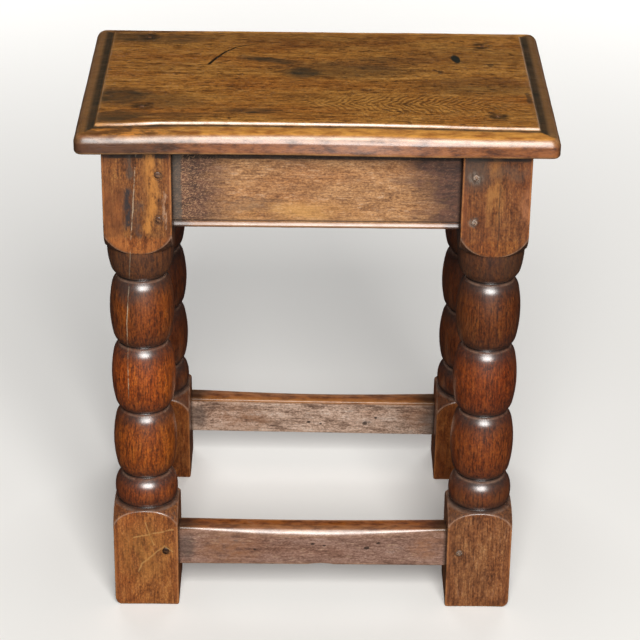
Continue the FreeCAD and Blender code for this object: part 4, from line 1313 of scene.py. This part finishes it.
peg = {
    "frameRadius": 0.0040,
    "topRadius": 0.0047,
    "proud": 0.0008,
    "facets": 8,
    # in peg radii
    "sunk": 0.96,
    "dome": 0.16,
    "chamferShare": 0.06,
    "turnSeed": 3,
    "swellSeed": 7,
    # how pale each head on the front is; below zero it's dark
    "pale": {"front_left_upper": 0.12, "front_left_lower": 0.1, "front_left_stretcher": -0.6,
             "front_right_upper": 0.9, "front_right_lower": 0.85, "front_right_stretcher": 0.6},
    "otherPale": 0.25,
    "topPale": 0.1,
}
pegLook = dict(
    legLook,
    tones=[(0.0, (0.02, 0.010, 0.006)), (0.4, (0.09, 0.035, 0.016)), (0.65, (0.18, 0.08, 0.035)),
           (1.0, (0.30, 0.17, 0.09))],
    warmTint=(0.9, 0.85, 0.8), wearDepth=0.4, wearColour=(0.3, 0.2, 0.13), coat=0.2)


def pegTree():
    pen, given = newTree("pegHeads", {
        "Sunk": "Float", "Dome": "Float", "Facets": "Int", "Seed": "Int", "Oak": "Material"})
    stick = pen.node("GeometryNodeMeshCylinder", None, {
        "Vertices": given["Facets"], "Side Segments": 2, "Fill Segments": 4, "Radius": 1.0, "Depth": 1.0})
    x, y, z = parts(pen.node("GeometryNodeInputPosition"))
    out = distance(x, y)
    head = held(z * 20 - 9)
    chamfer = 1 - head * held(out * 4 - 3) * peg["chamferShare"]
    place = joined(x * chamfer, y * chamfer, (z - 0.5) * given["Sunk"] - head * out * out * given["Dome"])
    domed = stick.node("GeometryNodeSetPosition", None, {"Geometry": stick, "Position": place})
    marked = stored(domed, "grain", joined(z * 0.02, x * 0.004, y * 0.004))
    marked = stored(marked, "dirt", held(out * 6 - 5) * 0.8)
    marked = stored(marked, "wear", head * held(1 - out) * 0.7)

    def drawn(least, greatest, seed):
        # a number for each peg
        return pen.node("FunctionNodeRandomValue", {"data_type": "FLOAT"}, {
            2: least, 3: greatest, "ID": pen.node("GeometryNodeInputIndex"), "Seed": seed}, 1)

    turn = joined(0.0, 0.0, drawn(0.0, 6.28, given["Seed"]))
    spin = pen.node("FunctionNodeEulerToRotation", None, {0: turn})
    facing = pen.node("FunctionNodeAlignRotationToVector", {"axis": "Z"}, {
        "Vector": named(pen, "facing", "FLOAT_VECTOR")})
    turned = pen.node("FunctionNodeRotateRotation", {"rotation_space": "LOCAL"}, {0: facing, 1: spin})
    radius = named(pen, "size") * drawn(0.9, 1.02, peg["swellSeed"])
    heads = pen.node("GeometryNodeInstanceOnPoints", None, {
        "Points": given["Geometry"], "Instance": marked, "Rotation": turned,
        "Scale": joined(radius, radius * 0.94, named(pen, "size"))})
    closeTree(heads, given["Oak"])
    return pen.tree


def pegPoints(label, heads):
    places, facings, sizes, pales = zip(*heads)
    mesh = bpy.data.meshes.new(label)
    mesh.from_pydata([tuple(place) for place in places], [], [])
    return withValues(mesh, size=sizes, pale=pales, spot=0.73 * np.arange(len(heads)),
                      facing=[tuple(facing) for facing in facings])


def pegMarks(grain, colour, roughness, height, cloud, blotch):
    pale, spot = attribute(grain, "pale"), attribute(grain, "spot")
    x, y = parts(grain)[1:]
    own = speckle(joined(x * 700 + spot, y * 700, spot), detail=4, rough=0.6)
    colour = tinted(held(pale) * above(own, 0.38, 5), colour, (0.40, 0.32, 0.26))
    return tinted(held(pale * -1), colour, (0.012, 0.008, 0.006)), roughness, height, 1


pegOak = oakMaterial("pegOak", pegLook, pegMarks)
tree = pegTree()
frameHeads, frameNodes = [], []
for endName, sideName in legTints:
    end, side = ends[endName], sides[sideName]
    corner = f"{endName}_{sideName}"
    turn = Matrix.Rotation(end * stool["rake"], 3, "X")
    foot = Vector((side * stool["legCentresX"] / 2, end * footCentresY / 2, 0))
    for levelName, level in pegLevels.items():
        faceHead = Vector((-side * (half - pegInset), end * (half + peg["proud"]), level))
        endHead = Vector((side * (half + peg["proud"]), -end * (half - pegInset), level))
        radius, otherPale = peg["frameRadius"], peg["otherPale"]
        facePale = peg["pale"].get(f"{corner}_{levelName}", otherPale)
        frameHeads += [(foot + turn @ faceHead, turn @ Vector((0, end, 0)), radius, facePale),
                       (foot + turn @ endHead, turn @ Vector((side, 0, 0)), radius, otherPale)]
        rule = "stretcher_peg_{0}_{1}" if levelName == "stretcher" else "frieze_peg_{0}_{1}_" + levelName
        frameNodes += [rule.format(corner, "face"), rule.format(corner, "end")]
topHeads = [(Vector((x, y, stool["height"] - 2 * tiny)), Vector((0, 0, 1)), peg["topRadius"], peg["topPale"])
            for x, y in topPegs.values()]
topNodes = [f"top_peg_{corner}" for corner in topPegs]
for name, heads, nodes in (("framePegs", frameHeads, frameNodes), ("topPegs", topHeads, topNodes)):
    piece = grown(name, pegPoints(name, heads), tree, {
        "Sunk": peg["sunk"], "Dome": peg["dome"], "Facets": peg["facets"], "Seed": peg["turnSeed"],
        "Oak": pegOak})
    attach(piece, "root")
    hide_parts(*nodes)
print("pegs made")

# studio

studio = {
    "floorSize": 14,
    "floorMiddle": (0, 1.5, 0),
    "floorSeen": (0.80, 0.79, 0.77),
    "floorMirrored": (0.02, 0.02, 0.02),
    "floorGlow": 0.05,
    "floorFelt": (0.15, 0.148, 0.142),
    "aim": (0, 0, 0.3),
    "keyPower": 95.0,
    "keySize": (1.4, 1.6),
    "keyPlace": (0.22, -2.15, 1.95),
    "keyColour": (1.0, 0.985, 0.96),
    "fillPower": 22.0,
    "fillSize": (1.2, 1.2),
    "fillPlaces": {"fillLeft": (-1.0, 2.2, 1.0), "fillRight": (1.0, 2.2, 1.0)},
    "skyColour": (1.0, 0.99, 0.975),
    "sky": 0.115,
    "skySeen": 0.88,
    "skyMirrored": 0.012,
}


def cleared(tree):
    # an empty tree, with what tells the camera's rays and the mirrored ones from the rest
    tree.nodes.clear()
    pen = Wire(tree)
    return pen, *(pen.node("ShaderNodeLightPath", out=f"Is {kind} Ray") for kind in ("Camera", "Glossy"))


def softbox(name, place, power, size, colour=(1, 1, 1)):
    lamp = bpy.data.lights.new(name, "AREA")
    lamp.shape, lamp.energy, lamp.color = "RECTANGLE", power, colour
    lamp.size, lamp.size_y = size
    holder = bpy.data.objects.new(name, lamp)
    holder.location = place
    holder.rotation_euler = (Vector(studio["aim"]) - Vector(place)).to_track_quat("-Z", "Y").to_euler()
    bpy.context.scene.collection.objects.link(holder)
    return holder


bpy.ops.mesh.primitive_plane_add(size=studio["floorSize"], location=studio["floorMiddle"])
floor = bpy.context.object
floor.name = "floor"
floorPaint = bpy.data.materials.new("floorPaint")
floorPaint.use_nodes = True
pen, seen, mirrored = cleared(floorPaint.node_tree)
tone = tinted(mirrored, tinted(seen, studio["floorFelt"], studio["floorSeen"]), studio["floorMirrored"])
both = pen.node("ShaderNodeAddShader", None, {
    0: pen.node("ShaderNodeBsdfDiffuse", None, {"Color": tone}),
    1: pen.node("ShaderNodeEmission", None, {
        "Color": (*studio["floorSeen"], 1), "Strength": seen * studio["floorGlow"]})})
pen.node("ShaderNodeOutputMaterial", None, {"Surface": both})
floor.data.materials.append(floorPaint)

world = bpy.data.worlds.new("studio")
world.use_nodes = True
bpy.context.scene.world = world
pen, seen, mirrored = cleared(world.node_tree)
strength = (studio["sky"] + seen * (studio["skySeen"] - studio["sky"])
            + mirrored * (studio["skyMirrored"] - studio["sky"]))
backdrop = pen.node("ShaderNodeBackground", None, {"Color": (*studio["skyColour"], 1), "Strength": strength})
pen.node("ShaderNodeOutputWorld", None, {"Surface": backdrop})

softbox("keyLight", studio["keyPlace"], studio["keyPower"], studio["keySize"], studio["keyColour"])
# two weak lamps behind, without reflections, for the sides that the key leaves dark
for name, place in studio["fillPlaces"].items():
    softbox(name, place, studio["fillPower"], studio["fillSize"]).visible_glossy = False

# camera fitted to the marks of the photograph
view = {
    "place": (-0.01214, -1.99998, 1.35786),
    "forward": (0.00786374, 0.87581903, -0.48257557),
    "yaw": 0.00897848,
    "roll": 0.0133744,
    "lens": 122.13,
}
forward = Vector(view["forward"]).normalized()
level = Vector((math.cos(view["yaw"]), -math.sin(view["yaw"]), 0))
upward = level.cross(forward)
rightWay = level * math.cos(view["roll"]) + upward * math.sin(view["roll"])
upWay = upward * math.cos(view["roll"]) - level * math.sin(view["roll"])
camera = bpy.data.cameras.new("camera")
camera.lens, camera.sensor_width = view["lens"], 36.0
camera.clip_start, camera.clip_end = 0.1, 40
cameraHolder = bpy.data.objects.new("camera", camera)
bpy.context.scene.collection.objects.link(cameraHolder)
axes = zip(rightWay, upWay, -forward, view["place"])
cameraHolder.matrix_world = Matrix((*axes, (0, 0, 0, 1)))
bpy.context.scene.camera = cameraHolder
bpy.context.scene.view_settings.view_transform = "Standard"
print("studio ready")
